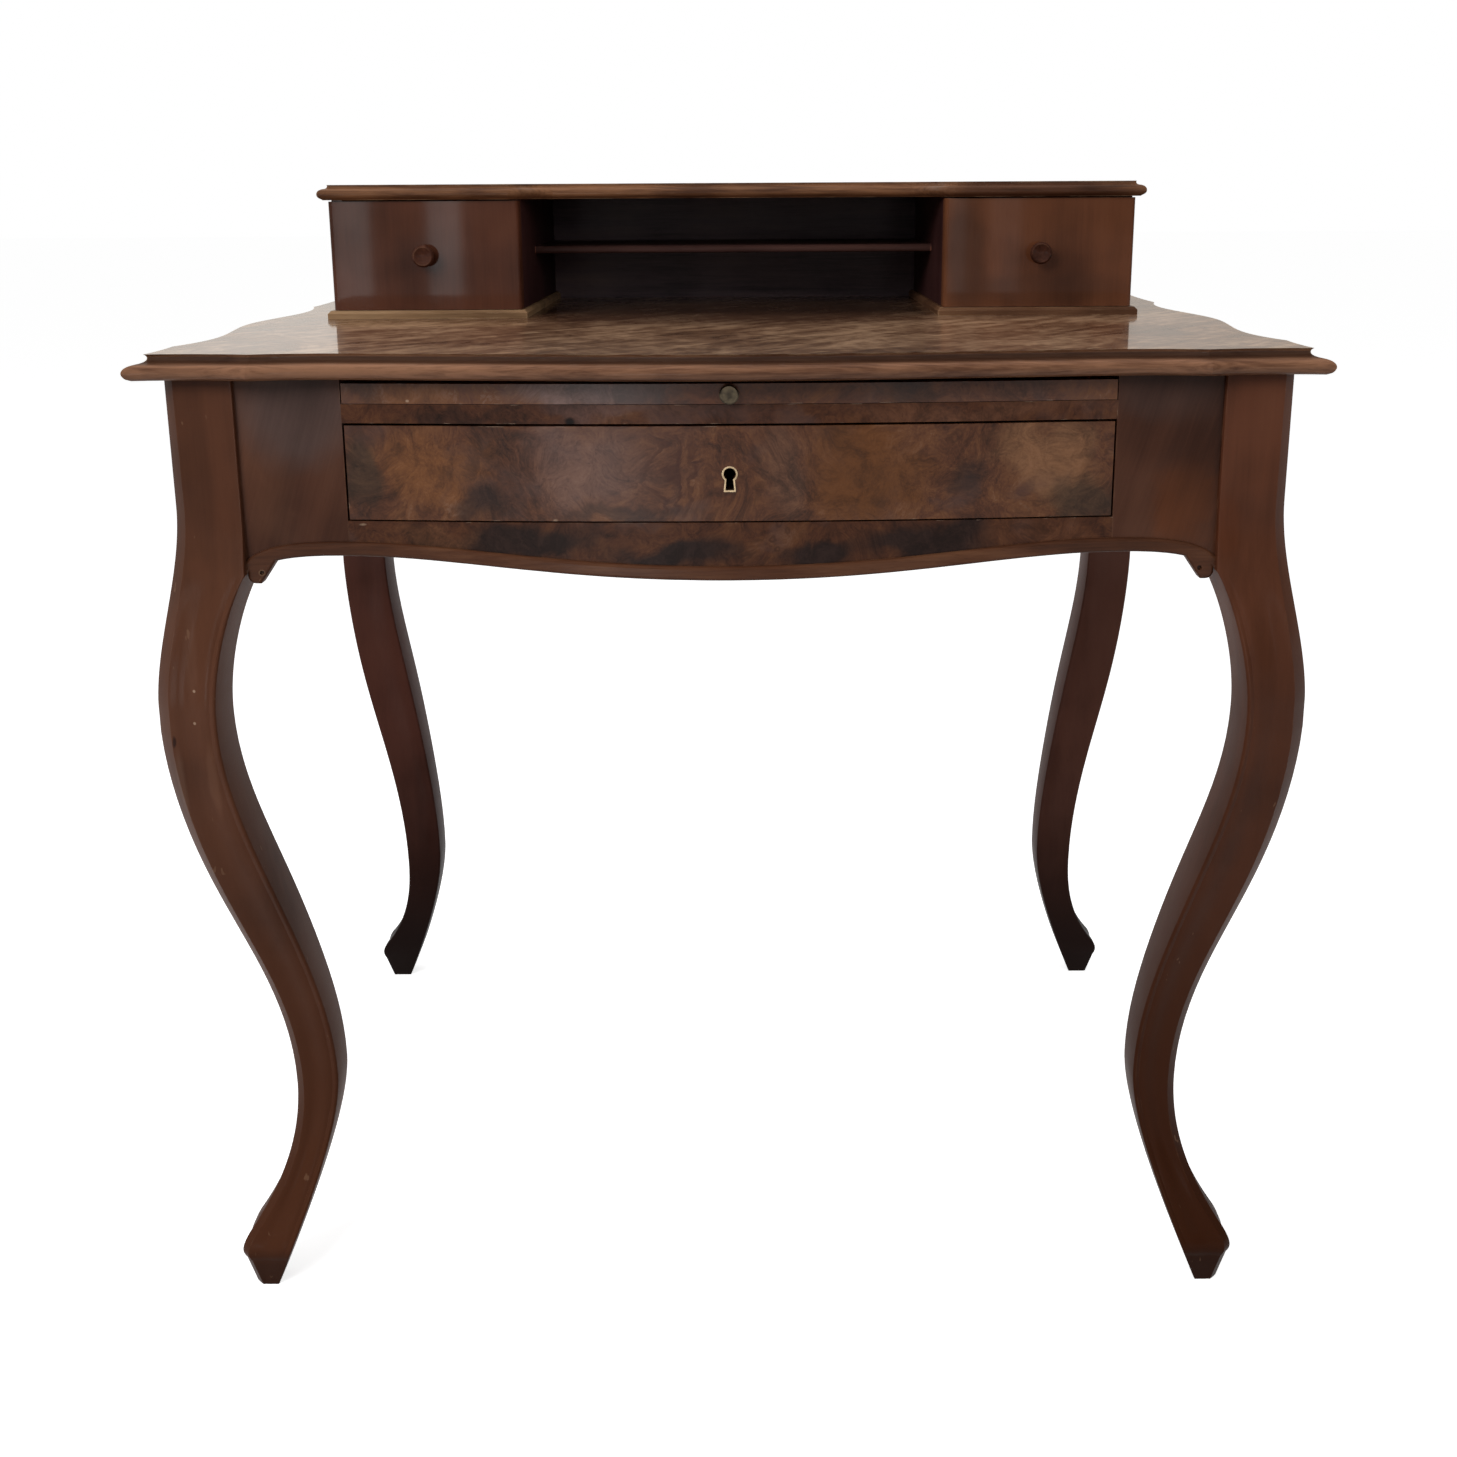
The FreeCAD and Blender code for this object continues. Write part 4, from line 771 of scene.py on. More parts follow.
RAIL_CLOUDS = (
    Cloud((-0.144, 0.6305), (0.060, 0.019), SHADOW_BROWN, 0.95),
    Cloud((-0.036, 0.6180), (0.050, 0.014), SHADOW_BROWN, 1.0),
    Cloud((0.060, 0.6220), (0.042, 0.015), SHADOW_BROWN, 1.0),
    Cloud((0.146, 0.6305), (0.055, 0.018), SHADOW_BROWN, 0.95),
    Cloud((-0.215, 0.6320), (0.040, 0.014), shade(98, 66, 46), 0.5),
    Cloud((-0.195, 0.7245), (0.045, 0.008), SHADOW_BROWN, 0.55),
    # Painted reflection: the pale grey sheen band on the divider rail.
    Cloud((-0.095, 0.7245), (0.045, 0.010), shade(86, 65, 60), 0.6),
    Cloud((0.180, 0.7245), (0.110, 0.012), shade(96, 64, 48), 0.6),
    Cloud((0.225, 0.6340), (0.045, 0.014), shade(92, 58, 40), 0.5),
    chip((-0.2691, 0.6435), (0.003, 0.001), 0.8),
    Cloud((-0.1135, 0.7190), (0.0045, 0.0035), shade(20, 11, 9), 1.0, 0.1),
)
SLIDE_CLOUDS = (
    Cloud((-0.219, 0.7385), (0.034, 0.014), shade(102, 67, 44), 0.65),
    # Painted reflection: the pale grey sheen band carried on over the slide.
    Cloud((-0.110, 0.7385), (0.054, 0.016), shade(112, 92, 88), 0.7),
    Cloud((-0.020, 0.7385), (0.018, 0.014), shade(96, 56, 40), 0.5),
    Cloud((0.200, 0.7385), (0.070, 0.012), shade(92, 64, 52), 0.4),
    Cloud((0.125, 0.7385), (0.018, 0.014), SHADOW_BROWN, 0.6),
    Cloud((-0.266, 0.7385), (0.018, 0.014), SHADOW_BROWN, 0.5),
    chip((-0.2309, 0.7340), (0.0015, 0.0012)),
)
RIGHT_DRAWER_SHADE = (
    # Painted shade and reflection: the right drawer's front darker at its left and along its bottom.
    Cloud((0.210, 0.8200), (0.022, 0.070), shade(58, 36, 26), 0.7, 0.3),
    Cloud((0.275, 0.7890), (0.090, 0.020), shade(66, 40, 28), 0.5, 0.4),
)
RIGHT_LEG_SHADE_AND_MARKS = (
    # Painted shade darkening the right knee's face, which gets less light; the rest are a reddish patch and
    # two nicks.
    Cloud((0.405, 0.4900), (0.034, 0.120), shade(72, 40, 26), 0.55, 0.4),
    Cloud((0.362, 0.6350), (0.012, 0.024), shade(98, 52, 30), 0.5, 0.3),
    chip((0.3204, 0.1669)),
    chip((0.3225, 0.1590), strength=0.8),
)
LEFT_LEG_MARKS_AND_HIGHLIGHTS = (
    # The first three are painted highlights down the knee's facets; then a real knot and two nicks.
    Cloud((-0.4119, 0.4483), (0.0040, 0.030), shade(116, 86, 70), 0.4, 0.12),
    Cloud((-0.3876, 0.4522), (0.0050, 0.034), shade(110, 76, 58), 0.35, 0.12),
    Cloud((-0.3985, 0.5480), (0.0060, 0.040), shade(102, 72, 58), 0.25, 0.12),
    Cloud((-0.4140, 0.4839), (0.0016, 0.0055), shade(34, 17, 12), 0.85, 0.12),
    chip((-0.3965, 0.5227)),
    chip((-0.3979, 0.4979)),
)

# Pale grey of a painted sheen near the panels' tops.
PANEL_SHEEN = shade(76, 65, 63)
PANEL_CLOUDS = (
    # Painted sheen: pale reflections near the tops of both panels.
    Cloud((-0.312, 0.7245), (0.050, 0.044), PANEL_SHEEN, 0.6, 0.5),
    Cloud((0.312, 0.7345), (0.050, 0.026), PANEL_SHEEN, 0.3, 0.5),
    Cloud((-0.330, 0.6585), (0.026, 0.038), shade(92, 60, 44), 0.45),
    Cloud((0.335, 0.6545), (0.026, 0.036), shade(88, 48, 26), 0.7),
)
GRADIN_SHADE = Cloud((0.270, 0.8765), (0.115, 0.020), shade(62, 38, 26), 0.95, 0.5)

# Each leg has its own painted shade towards the floor, darkest on the back legs.
LEFT_LEG = Walnut("left_leg_walnut", dark=shade(56, 33, 22), body=shade(85, 51, 35), light=shade(98, 61, 43),
                  foot_shade=shade(74, 42, 27), figure=0.3, fibre=0.08, floor_shade=0.8, coat=0.13, nicks=0.4,
                  clouds=LEFT_LEG_MARKS_AND_HIGHLIGHTS)
RIGHT_LEG = Walnut("right_leg_walnut", dark=shade(58, 33, 22), body=shade(94, 55, 38),
                   light=shade(106, 65, 46), foot_shade=shade(54, 27, 14), figure=0.3, fibre=0.08, floor_shade=0.95,
                   floor_shade_top=0.70, coat=0.12, nicks=0.4, clouds=RIGHT_LEG_SHADE_AND_MARKS)
BACK_LEFT_LEG = Walnut("back_left_leg_walnut", dark=shade(50, 27, 21), body=shade(76, 44, 36),
                       light=shade(88, 53, 43), foot_shade=shade(24, 10, 7), figure=0.3, fibre=0.08, floor_shade=1.0,
                       floor_shade_top=0.34, coat=0.09)
BACK_RIGHT_LEG = Walnut("back_right_leg_walnut", dark=shade(62, 37, 31), body=shade(94, 60, 50),
                        light=shade(104, 68, 57), foot_shade=shade(30, 14, 10), figure=0.3, fibre=0.08, floor_shade=1.0,
                        floor_shade_top=0.34, coat=0.09)
KNOB_WALNUT = Walnut("knob_walnut", dark=shade(40, 22, 17), body=shade(64, 37, 28), light=shade(84, 51, 38),
                     grain=Grain.DEEP, figure_scale=160.0, wear=0.6)
PANEL_WALNUT = Walnut("panel_walnut", body=shade(76, 46, 33), light=shade(96, 62, 46), figure_scale=26.0,
                      figure=0.6, fibre=0.14, tilt=0.3, clouds=PANEL_CLOUDS)
LEFT_DRAWER = Walnut("left_drawer_walnut", body=shade(82, 47, 33), light=shade(98, 61, 44), figure_scale=22.0,
                     figure=0.4, fibre=0.12, coat=0.2, coat_roughness=0.05, wear=0.2)
RIGHT_DRAWER = Walnut("right_drawer_walnut", body=shade(96, 57, 37), light=shade(112, 70, 47),
                      figure_scale=22.0, figure=0.35, fibre=0.1, coat=0.13, coat_roughness=0.05, wear=0.2,
                      clouds=RIGHT_DRAWER_SHADE)
BAY_WALNUT = Walnut("bay_walnut", dark=shade(74, 64, 70), body=shade(110, 94, 98), light=shade(126, 106, 106),
                    worn=shade(130, 80, 64), grain=Grain.ACROSS, coat=0.08)
BAY_SIDE = Walnut("bay_side_walnut", dark=shade(40, 24, 24), body=shade(58, 34, 33), light=shade(70, 43, 41),
                  worn=shade(130, 80, 64), coat=0.08, fibre=0.14)
# Its bright worn arrises are partly real wear and partly a painted highlight on the shelf's edges.
SHELF_WALNUT = Walnut("shelf_walnut", dark=shade(54, 36, 34), body=shade(78, 53, 48), light=shade(98, 68, 60),
                      worn=shade(196, 126, 100), grain=Grain.ACROSS, wear=1.0, coat=0.08)
MOULDING_WALNUT = Walnut("moulding_walnut", dark=shade(50, 29, 20), body=shade(82, 50, 34),
                         light=shade(110, 74, 52), worn=shade(150, 118, 92), grain=Grain.ACROSS, wear=0.6)
# Lit and shaded copies of the base moulding: the left one lighter where the light falls, the right one
# darker.
LIT_BASE = Walnut("lit_base", dark=shade(88, 64, 44), body=shade(134, 105, 77), light=shade(158, 128, 96),
                   worn=shade(164, 136, 104), grain=Grain.ACROSS, wear=0.6, coat=0.06)
SHADED_BASE = Walnut("shaded_base", dark=shade(60, 38, 26), body=shade(92, 63, 45), light=shade(116, 84, 60),
                    worn=shade(150, 122, 92), grain=Grain.ACROSS, wear=0.6, coat=0.06)
DRAWER_BURL = BurlVeneer("drawer_burl", clouds=DRAWER_CLOUDS, flames=BURL_FLAMES)
RAIL_BURL = BurlVeneer("rail_burl", dark=shade(38, 24, 19), body=shade(74, 45, 32), gold=shade(90, 57, 38),
                       pale=shade(106, 74, 56), clouds=RAIL_CLOUDS, sheen=0.05)
SLIDE_BURL = BurlVeneer("slide_burl", dark=shade(52, 33, 27), body=shade(90, 58, 44),
                        pale=shade(132, 102, 90), clouds=SLIDE_CLOUDS, sheen=0.26)
TABLE_TOP = PolishedTop("table_top_walnut", cove_height=(0.7619, 0.7667), bay_shade_and_glint=0.8)
GRADIN_TOP = PolishedTop("gradin_top_walnut", edge_dark=shade(70, 44, 30), edge=shade(122, 84, 58),
                         clouds=(GRADIN_SHADE,))
SLIDE_TOP = Walnut("slide_top_walnut", body=shade(90, 58, 41), light=shade(112, 77, 55), grain=Grain.ACROSS,
                   figure_scale=40.0, figure=0.6, coat=0.2)
BOX_WOOD = PlainWood("box_wood")
BACK_WOOD = PlainWood("back_wood", dark=shade(84, 58, 38), body=shade(116, 84, 56), light=shade(138, 104, 72),
                      grain=Grain.ACROSS)
BRASS = AgedMetal("aged_brass", bright=shade(76, 67, 53), dull=shade(46, 40, 33))
KEYHOLE_BRASS = AgedMetal("keyhole_brass", bright=shade(186, 164, 132), dull=shade(140, 120, 94))
STEEL = AgedMetal("lock_steel", bright=shade(142, 138, 132), dull=shade(84, 78, 72), roughness=0.42)
FLOOR = PaleFloor("pale_floor")


@dataclass
class Workshop:
    """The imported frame, and what is done to its pieces."""

    frame: dict[str, Any]

    def dress(self, node: str, finish: Finish, seed: float = 0.0) -> None:
        """Give a CAD piece its finish.

        Args:
            node: The piece.
            finish: Its finish.
            seed: Moves the figure.
        """
        materials = self.frame["nodes"][node].data.materials
        materials.clear()
        materials.append(finish.material(seed))
        LOG.info("%s in %s", node, finish.name)

    def add(self, name: str, mesh: bpy.types.Mesh, finish: Finish, seed: float, body: str,
            slot: str) -> bpy.types.Object:
        """Put a mesh of the scene's own on a body.

        Args:
            name: The piece's name.
            mesh: Its mesh, in the frame's place.
            finish: Its finish.
            seed: Moves the figure.
            body: The body that it moves with.
            slot: The record's slot that its finish stands for; not used.

        Returns:
            The new piece.
        """
        piece = bpy.data.objects.new(name, mesh)
        bpy.context.scene.collection.objects.link(piece)
        mesh.materials.append(finish.material(seed))
        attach(piece, body)
        LOG.info("%s rides on %s in %s", name, body, finish.name)
        return piece


def bezier(poles: Sequence[Point], steps: int) -> list[Point]:
    """Return points along a cubic curve, without its first.

    Args:
        poles: The four poles.
        steps: How many points.

    Returns:
        The points.
    """
    points = []
    for step in range(1, steps + 1):
        t = step / steps
        weights = ((1 - t) ** 3, 3 * t * (1 - t) ** 2, 3 * t * t * (1 - t), t ** 3)
        points.append(tuple(sum(w * pole[axis] for w, pole in zip(weights, poles)) for axis in range(2)))
    return points


@dataclass
class CabrioleLeg:
    """A carved leg, sawn on two faces, with a faceted outer corner and a bead down its inner arrises.

    Insets are measured from the outer faces of the square post, heights from the floor, in metres. A lead is
    how far a curve's pole lies from the point that it leads to, and a drop how far it lies under its start.
    """

    post: float = 0.0502
    top: float = 0.7505
    neck: float = 0.656
    bracket: float = 0.606
    bracket_drop: Point = (0.012, 0.020)
    knee: Point = (-0.0203, 0.503)
    knee_inner: Point = (0.0247, 0.495)
    knee_lead: float = 0.045
    shin: float = 0.30
    ankle: Point = (0.0428, 0.162)
    ankle_drop: float = 0.053
    ankle_inner: Point = (0.0785, 0.172)
    ankle_inner_drop: float = 0.047
    toe: Point = (0.0055, 0.047)
    toe_lead: Point = (0.0205, 0.0265)
    nose: Point = (0.0005, 0.036)
    nose_lead: tuple[float, float, float] = (0.0012, 0.0015, 0.0035)
    toe_under: Point = (0.0025, 0.026)
    sole: Point = (0.0080, 0.0270)
    heel_lead: Point = (0.019, 0.045)
    foot_carving: tuple[Point, Point] = ((0.02, 0.1), (0.05, 1.0))
    bracket_carving: float = 0.03
    bead_width: float = 0.0048
    bead_depth: float = 0.0009
    bead_profile: tuple[Point, ...] = ((0.45, 0.0), (0.8, 0.55), (1.0, 1.0), (1.3, 0.55), (1.7, 0.15))
    hollow: float = 0.0022
    swell: Point = (0.0026, 0.0033)
    swell_height: float = 0.36
    swell_reach: float = 0.09
    chamfer: float = 0.94
    corner_radii: tuple[float, ...] = (0.006, 0.006, 0.008, 0.0115, 0.009, 0.008)
    arris_radii: Point = (0.0007, 0.0016)
    sharp_angle: float = 24.0
    layers: int = 150
    nose_layers: int = 12
    curve_steps: int = 24
    nose_steps: int = 10
    face_steps: int = 8
    arris_steps: int = 4

    def s_curve(self, start: Point, end: Point) -> list[Point]:
        """Return a curve that leaves and arrives upright.

        Args:
            start: Where it starts.
            end: Where it ends.

        Returns:
            Its points, without the first.
        """
        third = (end[1] - start[1]) / 3
        poles = [start, (start[0], start[1] + third), (end[0], end[1] - third), end]
        return bezier(poles, self.curve_steps)

    def outer_line(self) -> list[Point]:
        """Draw the outer outline.

        Returns:
            Its points from the top to the floor.
        """
        ankle_to_toe = [self.ankle, (self.ankle[0], self.ankle[1] - self.ankle_drop),
                        (self.toe[0] + self.toe_lead[0], self.toe[1] + self.toe_lead[1]), self.toe]
        out, over, under = self.nose_lead
        over_nose = [self.toe, (self.nose[0] - out, self.nose[1] + over),
                     (self.nose[0] - out, self.nose[1] - under), self.toe_under]
        return ([(0.0, self.top), (0.0, self.neck)] + self.s_curve((0.0, self.neck), self.knee)
                + self.s_curve(self.knee, self.ankle) + bezier(ankle_to_toe, self.curve_steps)
                + bezier(over_nose, self.nose_steps) + [(self.sole[0], 0.0)])

    def inner_line(self) -> list[Point]:
        """Draw the inner outline.

        Returns:
            Its points from the top to the floor.
        """
        bracket = (self.post, self.bracket)
        back, down = self.bracket_drop
        under_bracket = [bracket, (self.post - back, self.bracket - down),
                         (self.knee_inner[0], self.knee_inner[1] + self.knee_lead), self.knee_inner]
        heel = (self.sole[1], 0.0)
        to_heel = [self.ankle_inner, (self.ankle_inner[0], self.ankle_inner[1] - self.ankle_inner_drop),
                   (heel[0] + self.heel_lead[0], self.heel_lead[1]), heel]
        return ([(self.post, self.top), bracket] + bezier(under_bracket, self.curve_steps)
                + self.s_curve(self.knee_inner, self.ankle_inner) + bezier(to_heel, self.curve_steps))

    @staticmethod
    def corner(at: Point, before: Point, after: Point, radius: float, steps: int,
               flat: float = 0.0) -> list[Point]:
        """Return a corner between two sides of a section, rounded, or flattened towards a chamfer.

        Args:
            at: The sharp corner.
            before: The way that the side before it runs.
            after: The way that the side after it runs.
            radius: The corner's radius.
            steps: How many parts it has.
            flat: 0 for a round corner and 1 for a chamfer.

        Returns:
            The points.
        """
        points = []
        centre = [at[k] - before[k] * radius + after[k] * radius for k in range(2)]
        for step in range(steps + 1):
            angle = math.pi / 2 * step / steps
            back = (1 - flat) * math.cos(angle) + flat * (1 - step / steps)
            forth = (1 - flat) * math.sin(angle) + flat * step / steps
            points.append(tuple(centre[k] - after[k] * radius * back + before[k] * radius * forth
                                for k in range(2)))
        return points

    def section(self, outer: float, inner: float, height: float) -> list[Point]:
        """Return the leg's outline in plan at one height.

        Args:
            outer: Inset of the outer faces.
            inner: Inset of the inner faces.
            height: Height above the floor.

        Returns:
            The points, the same number at every height.
        """
        (low, trace), (full, whole) = self.foot_carving
        heights = (low, full, self.bracket - self.bracket_carving, self.bracket)
        carved = float(np.interp(height, heights, (trace, whole, whole, 0.0)))
        heights = (0.0, full, self.shin, self.knee[1], self.neck, self.top)
        radius = float(np.interp(height, heights, self.corner_radii))
        arris = self.arris_radii[0] + self.arris_radii[1] * carved
        face = [(self.bead_width * place, self.bead_depth * depth * carved)
                for place, depth in self.bead_profile]
        start = face[-1][0]
        room = inner - outer - radius - start
        for step in range(1, self.face_steps):
            share = step / self.face_steps
            face.append((start + room * share, self.hollow * carved * math.sin(math.pi * share) ** 2))
        return [*self.corner((outer, outer), (0, -1), (1, 0), radius, self.face_steps, self.chamfer),
                *((inner - place, outer + depth) for place, depth in reversed(face)),
                *self.corner((inner, outer), (1, 0), (0, 1), arris, self.arris_steps),
                *self.corner((inner, inner), (0, 1), (-1, 0), arris, self.arris_steps),
                *self.corner((outer, inner), (-1, 0), (0, -1), arris, self.arris_steps),
                *((outer + depth, inner - place) for place, depth in face)]

    def mesh(self, name: str, corner: Vector, inward: Point) -> bpy.types.Mesh:
        """Build one leg.

        Args:
            name: The mesh's name.
            corner: Outer corner of the post at floor level.
            inward: Signs of the way in from that corner, along X and Y.

        Returns:
            The mesh.
        """
        outer_line = sorted((z, inset) for inset, z in self.outer_line())
        inner_line = sorted((z, inset) for inset, z in self.inner_line())
        even = np.linspace(0.0, self.top, self.layers)
        extra = [*np.linspace(self.toe_under[1], self.toe[1], self.nose_layers), self.bracket]
        shape = bmesh.new()
        rings = []
        for height in sorted(set(even) | set(extra)):
            fuller = math.exp(-((height - self.swell_height) / self.swell_reach) ** 2)
            outer = float(np.interp(height, *zip(*outer_line))) - self.swell[0] * fuller
            outer = max(outer, self.knee[0])
            inner = float(np.interp(height, *zip(*inner_line))) + self.swell[1] * fuller
            ring = [shape.verts.new((corner.x + inward[0] * u, corner.y + inward[1] * v, height))
                    for u, v in self.section(outer, inner, height)]
            rings.append(ring)
        for below, above in zip(rings, rings[1:]):
            for k, vertex in enumerate(below):
                after = (k + 1) % len(below)
                shape.faces.new((vertex, below[after], above[after], above[k]))
        shape.faces.new(rings[0])
        shape.faces.new(rings[-1])
        bmesh.ops.recalc_face_normals(shape, faces=shape.faces)
        mesh = bpy.data.meshes.new(name)
        shape.to_mesh(mesh)
        shape.free()
        mesh.shade_smooth()
        mesh.set_sharp_from_angle(angle=math.radians(self.sharp_angle))
        return mesh


@dataclass
class Carcass:
    """Legs, table top, bowed front, side and back aprons, and what is inside them."""

    workshop: Workshop
    leg: CabrioleLeg = field(default_factory=CabrioleLeg)
    body: str = "carcass"

    def build(self) -> None:
        """Carve the legs and dress the rest."""
        for end, back in (("front", False), ("back", True)):
            for side, right in (("left", False), ("right", True)):
                self.carve_leg(f"leg_{end}_{side}", right, back)
        self.dress()

    def carve_leg(self, node: str, right: bool, back: bool) -> None:
        """Replace a leg's solid by the carved leg.

        Args:
            node: The leg's node.
            right: Whether it stands on the right.
            back: Whether it stands at the back.
        """
        low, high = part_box(node)
        throw = self.leg.knee[0]
        x = high.x + throw if right else low.x - throw
        y = high.y + throw if back else low.y - throw
        inward = (-1 if right else 1, -1 if back else 1)
        mesh = self.leg.mesh(f"carved_{node}", Vector((x, y, 0)), inward)
        seed = 1.0 + 2 * right + 4 * back
        finish = ((LEFT_LEG, RIGHT_LEG), (BACK_LEFT_LEG, BACK_RIGHT_LEG))[back][right]
        piece = self.workshop.add(f"carved_{node}", mesh, finish, seed, self.body, "walnut")
        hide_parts(node)

    def dress(self) -> None:
        """Give the other fixed pieces below the gradin their finishes."""
        shop = self.workshop
        shop.dress("table_top", TABLE_TOP)
        for seed, side in enumerate(("left", "right")):
            shop.dress(f"front_panel_{side}", PANEL_WALNUT, 3.0 + seed)
            shop.dress(f"side_apron_{side}", PANEL_WALNUT, 6.0 + seed)
            shop.dress(f"side_bead_{side}", MOULDING_WALNUT, 2.0 + seed)
            shop.dress(f"drawer_runner_{side}", BOX_WOOD, 1.0 + seed)
            shop.dress(f"slide_guide_{side}", BOX_WOOD, 3.0 + seed)
        shop.dress("front_bead", MOULDING_WALNUT, 1.0)
        shop.dress("bottom_rail", RAIL_BURL, 2.0)
        shop.dress("divider_rail", RAIL_BURL, 3.0)
        shop.dress("back_apron", BACK_WOOD, 6.0)
        for seed, node in enumerate(("glue_blocks", "drawer_stops")):
            shop.dress(node, BOX_WOOD, 7.0 + seed)


@dataclass
class MainDrawer:
    """The burl drawer with its keyhole and lock."""

    workshop: Workshop

    def build(self) -> None:
        """Dress the drawer."""
        shop = self.workshop
        shop.dress("drawer_front", DRAWER_BURL, 1.0)
        for seed, name in enumerate(("side_left", "side_right", "back", "bottom")):
            shop.dress(f"drawer_{name}", BOX_WOOD, 10.0 + seed)
        shop.dress("keyhole_liner", KEYHOLE_BRASS, 1.0)
        shop.dress("lock_screws", STEEL, 2.0)
        shop.dress("lock_case", STEEL, 1.0)
        shop.dress("lock_bolt", STEEL, 3.0)


@dataclass
class WritingSlide:
    """The slide that pulls out over the drawer."""

    workshop: Workshop

    def build(self) -> None:
        """Dress the slide."""
        shop = self.workshop
        shop.dress("slide_front", SLIDE_BURL, 4.0)
        shop.dress("slide_panel", SLIDE_TOP, 5.0)
        shop.dress("slide_stop_batten", BOX_WOOD, 15.0)
        shop.dress("slide_knob", BRASS, 2.0)


@dataclass
class Gradin:
    """The gradin's fixed boards and its small drawers."""

    workshop: Workshop

    def build(self) -> None:
        """Dress the boards and both drawers."""
        shop = self.workshop
        shop.dress("gradin_top", GRADIN_TOP, 2.0)
        shop.dress("gradin_back", BAY_WALNUT, 1.0)
        shop.dress("gradin_shelf", SHELF_WALNUT, 2.0)
        shop.dress("gradin_dowels", BOX_WOOD, 20.0)
        for seed, side in enumerate(("left", "right")):
            finish = (LEFT_DRAWER, RIGHT_DRAWER)[seed]
            shop.dress(f"gradin_outer_side_{side}", finish, 8.0 + seed)
            shop.dress(f"gradin_inner_side_{side}", BAY_SIDE, 4.0 + seed)
            shop.dress(f"gradin_floor_{side}", BOX_WOOD, 21.0 + seed)
            # Painted light: the lit base copy on the left and the shaded one on the right.
            shop.dress(f"gradin_base_{side}", (LIT_BASE, SHADED_BASE)[seed], 6.0 + seed)
            self.dress_drawer(f"small_drawer_{side}", finish, 2.0 + 3 * seed)

    def dress_drawer(self, body: str, finish: Finish, seed: float) -> None:
        """Dress one small drawer.

        Args:
            body: The drawer's body, which its nodes are named after.
            finish: The finish of its front.
            seed: Moves the figure.
        """
        shop = self.workshop
        shop.dress(f"{body}_front", finish, seed)
        shop.dress(f"{body}_knob", KNOB_WALNUT, 10.0 + seed)
        for name in ("inner_side", "outer_side", "back", "bottom"):
            shop.dress(f"{body}_{name}", BOX_WOOD, 30.0 + seed)


@dataclass(frozen=True)
class Lamp:
    """A soft lamp: its place, what it points at, its size, and how bright its face is.

    A radiance of 1 is the white of the surroundings.
    """

    name: str
    place: Place
    aim: Place
    size: Point
    radiance: float


@dataclass(frozen=True)
class Card:
    """A pale card behind the camera, facing the desk."""

    name: str
    across: float
    height: float
    size: Point
    radiance: float

    def lamp(self, y: float) -> Lamp:
        """Return the card as a lamp that stands at a given depth."""
        place = (self.across, y, self.height)
        return Lamp(self.name, place, (self.across, 0.0, self.height), self.size, self.radiance)


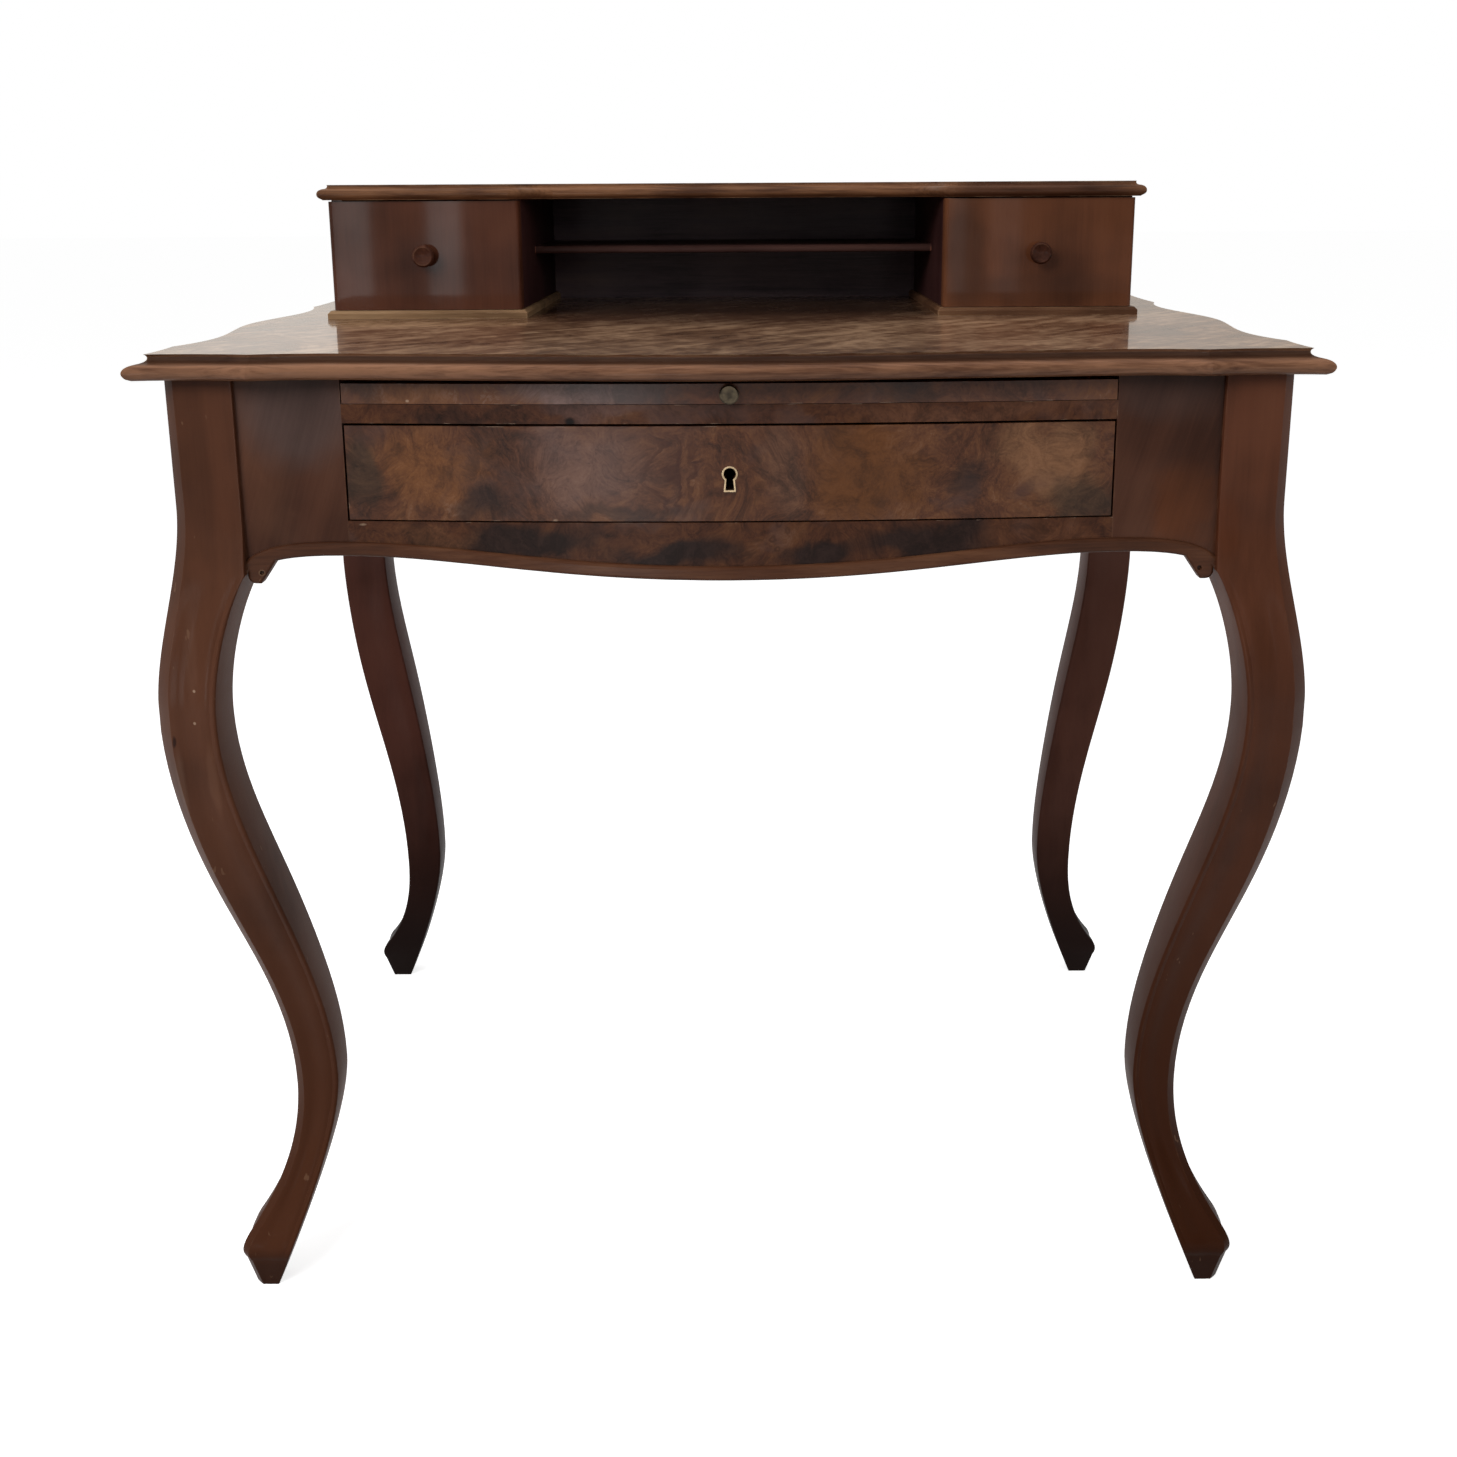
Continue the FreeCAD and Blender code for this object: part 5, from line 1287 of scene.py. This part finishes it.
@dataclass
class Studio:
    """Floor, light and camera."""

    lens: float = 40.77
    sensor: float = 36.0
    camera_place: Place = (0.01384, -1.46697, 0.88242)
    pitch_down: float = 14.06
    roll: float = -0.319
    shift: Point = (-0.01455, -0.0893)
    floor_size: float = 60.0
    lamps: tuple[Lamp, ...] = (
        Lamp("key", (-1.5, -2.2, 2.1), (0.0, 0.0, 0.6), (1.6, 1.2), 8.0),
        Lamp("fill", (1.9, -1.8, 1.6), (0.0, 0.0, 0.6), (1.2, 1.2), 2.6),
        Lamp("top", (0.0, 0.2, 2.7), (0.0, 0.0, 0.7), (1.8, 1.4), 3.0),
    )
    card_y: float = -2.61
    cards: tuple[Card, ...] = (
        Card("drawer_sheen", -0.43, 0.27, (0.40, 0.50), 4.0),
        Card("left_band", -0.955, 0.74, (0.09, 0.36), 4.2),
        Card("middle_band", -0.728, 0.74, (0.08, 0.36), 4.6),
        Card("right_band", 0.525, 0.74, (0.043, 0.36), 2.5),
        Card("far_band", 0.644, 0.74, (0.074, 0.36), 2.0),
    )
    ambient: float = 0.30
    left_wall: Colour = (1.0, 0.95, 0.88)
    right_wall: Colour = (0.38, 0.33, 0.28)
    wall_fade: Point = (-0.3, 0.7)

    def build(self) -> None:
        """Set the floor, the light and the camera; the cards show only as sheen on the polish."""
        self.lay_floor()
        self.set_world()
        for lamp in self.lamps:
            self.hang_lamp(lamp).visible_glossy = False
        for card in self.cards:
            self.hang_lamp(card.lamp(self.card_y)).visible_diffuse = False
        self.place_camera()

    def lay_floor(self) -> None:
        """Lay a pale floor under the desk."""
        half = self.floor_size / 2
        mesh = bpy.data.meshes.new("floor")
        corners = [(-half, -half, 0), (half, -half, 0), (half, half, 0), (-half, half, 0)]
        mesh.from_pydata(corners, [], [(0, 1, 2, 3)])
        mesh.materials.append(FLOOR.material(0.0))
        floor = bpy.data.objects.new("floor", mesh)
        bpy.context.scene.collection.objects.link(floor)

    def set_world(self) -> None:
        """Make the surroundings white where they are seen and dimmer as light."""
        world = bpy.data.worlds.new("surroundings")
        bpy.context.scene.world = world
        world.use_nodes = True
        graph = Graph(world.node_tree)
        seen, glossy = graph.light_path()
        strength = seen * (1 - self.ambient) + self.ambient
        across, _, _ = graph.axes(graph.add("ShaderNodeTexCoord", None, None, "Generated"))
        walls = graph.mix(across.ramp(*self.wall_fade), self.left_wall, self.right_wall)
        colour = graph.mix(glossy, (1, 1, 1), walls)
        background = graph.add("ShaderNodeBackground", None, {"Color": colour, "Strength": strength})
        graph.add("ShaderNodeOutputWorld", None, {"Surface": background})

    @staticmethod
    def hang_lamp(lamp: Lamp) -> bpy.types.Object:
        """Hang a soft lamp that the camera doesn't see.

        Args:
            lamp: The lamp.

        Returns:
            The lamp in the scene.
        """
        light = bpy.data.lights.new(lamp.name, "AREA")
        light.shape = "RECTANGLE"
        light.size, light.size_y = lamp.size
        light.energy = lamp.radiance * math.pi * lamp.size[0] * lamp.size[1]
        hung = bpy.data.objects.new(lamp.name, light)
        hung.location = lamp.place
        hung.rotation_euler = (Vector(lamp.aim) - Vector(lamp.place)).to_track_quat("-Z", "Y").to_euler()
        hung.visible_camera = False
        bpy.context.scene.collection.objects.link(hung)
        return hung

    def place_camera(self) -> None:
        """Stand the camera where the photograph was taken from."""
        data = bpy.data.cameras.new("camera")
        data.lens = self.lens
        data.sensor_width = self.sensor
        data.shift_x, data.shift_y = self.shift
        camera = bpy.data.objects.new("camera", data)
        camera.location = self.camera_place
        camera.rotation_mode = "XYZ"
        camera.rotation_euler = (math.radians(90 - self.pitch_down), 0.0, 0.0)
        camera.rotation_euler.rotate_axis("Z", math.radians(self.roll))
        bpy.context.scene.collection.objects.link(camera)
        bpy.context.scene.camera = camera


def main() -> None:
    """Build the desk's looks round its frame."""
    logging.basicConfig(level=logging.INFO, format="%(message)s")
    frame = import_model()
    bpy.context.scene.view_settings.view_transform = "Standard"
    workshop = Workshop(frame)
    assemblies = (Carcass(workshop), MainDrawer(workshop), WritingSlide(workshop), Gradin(workshop), Studio())
    for assembly in assemblies:
        assembly.build()


if __name__ == "__main__":
    main()
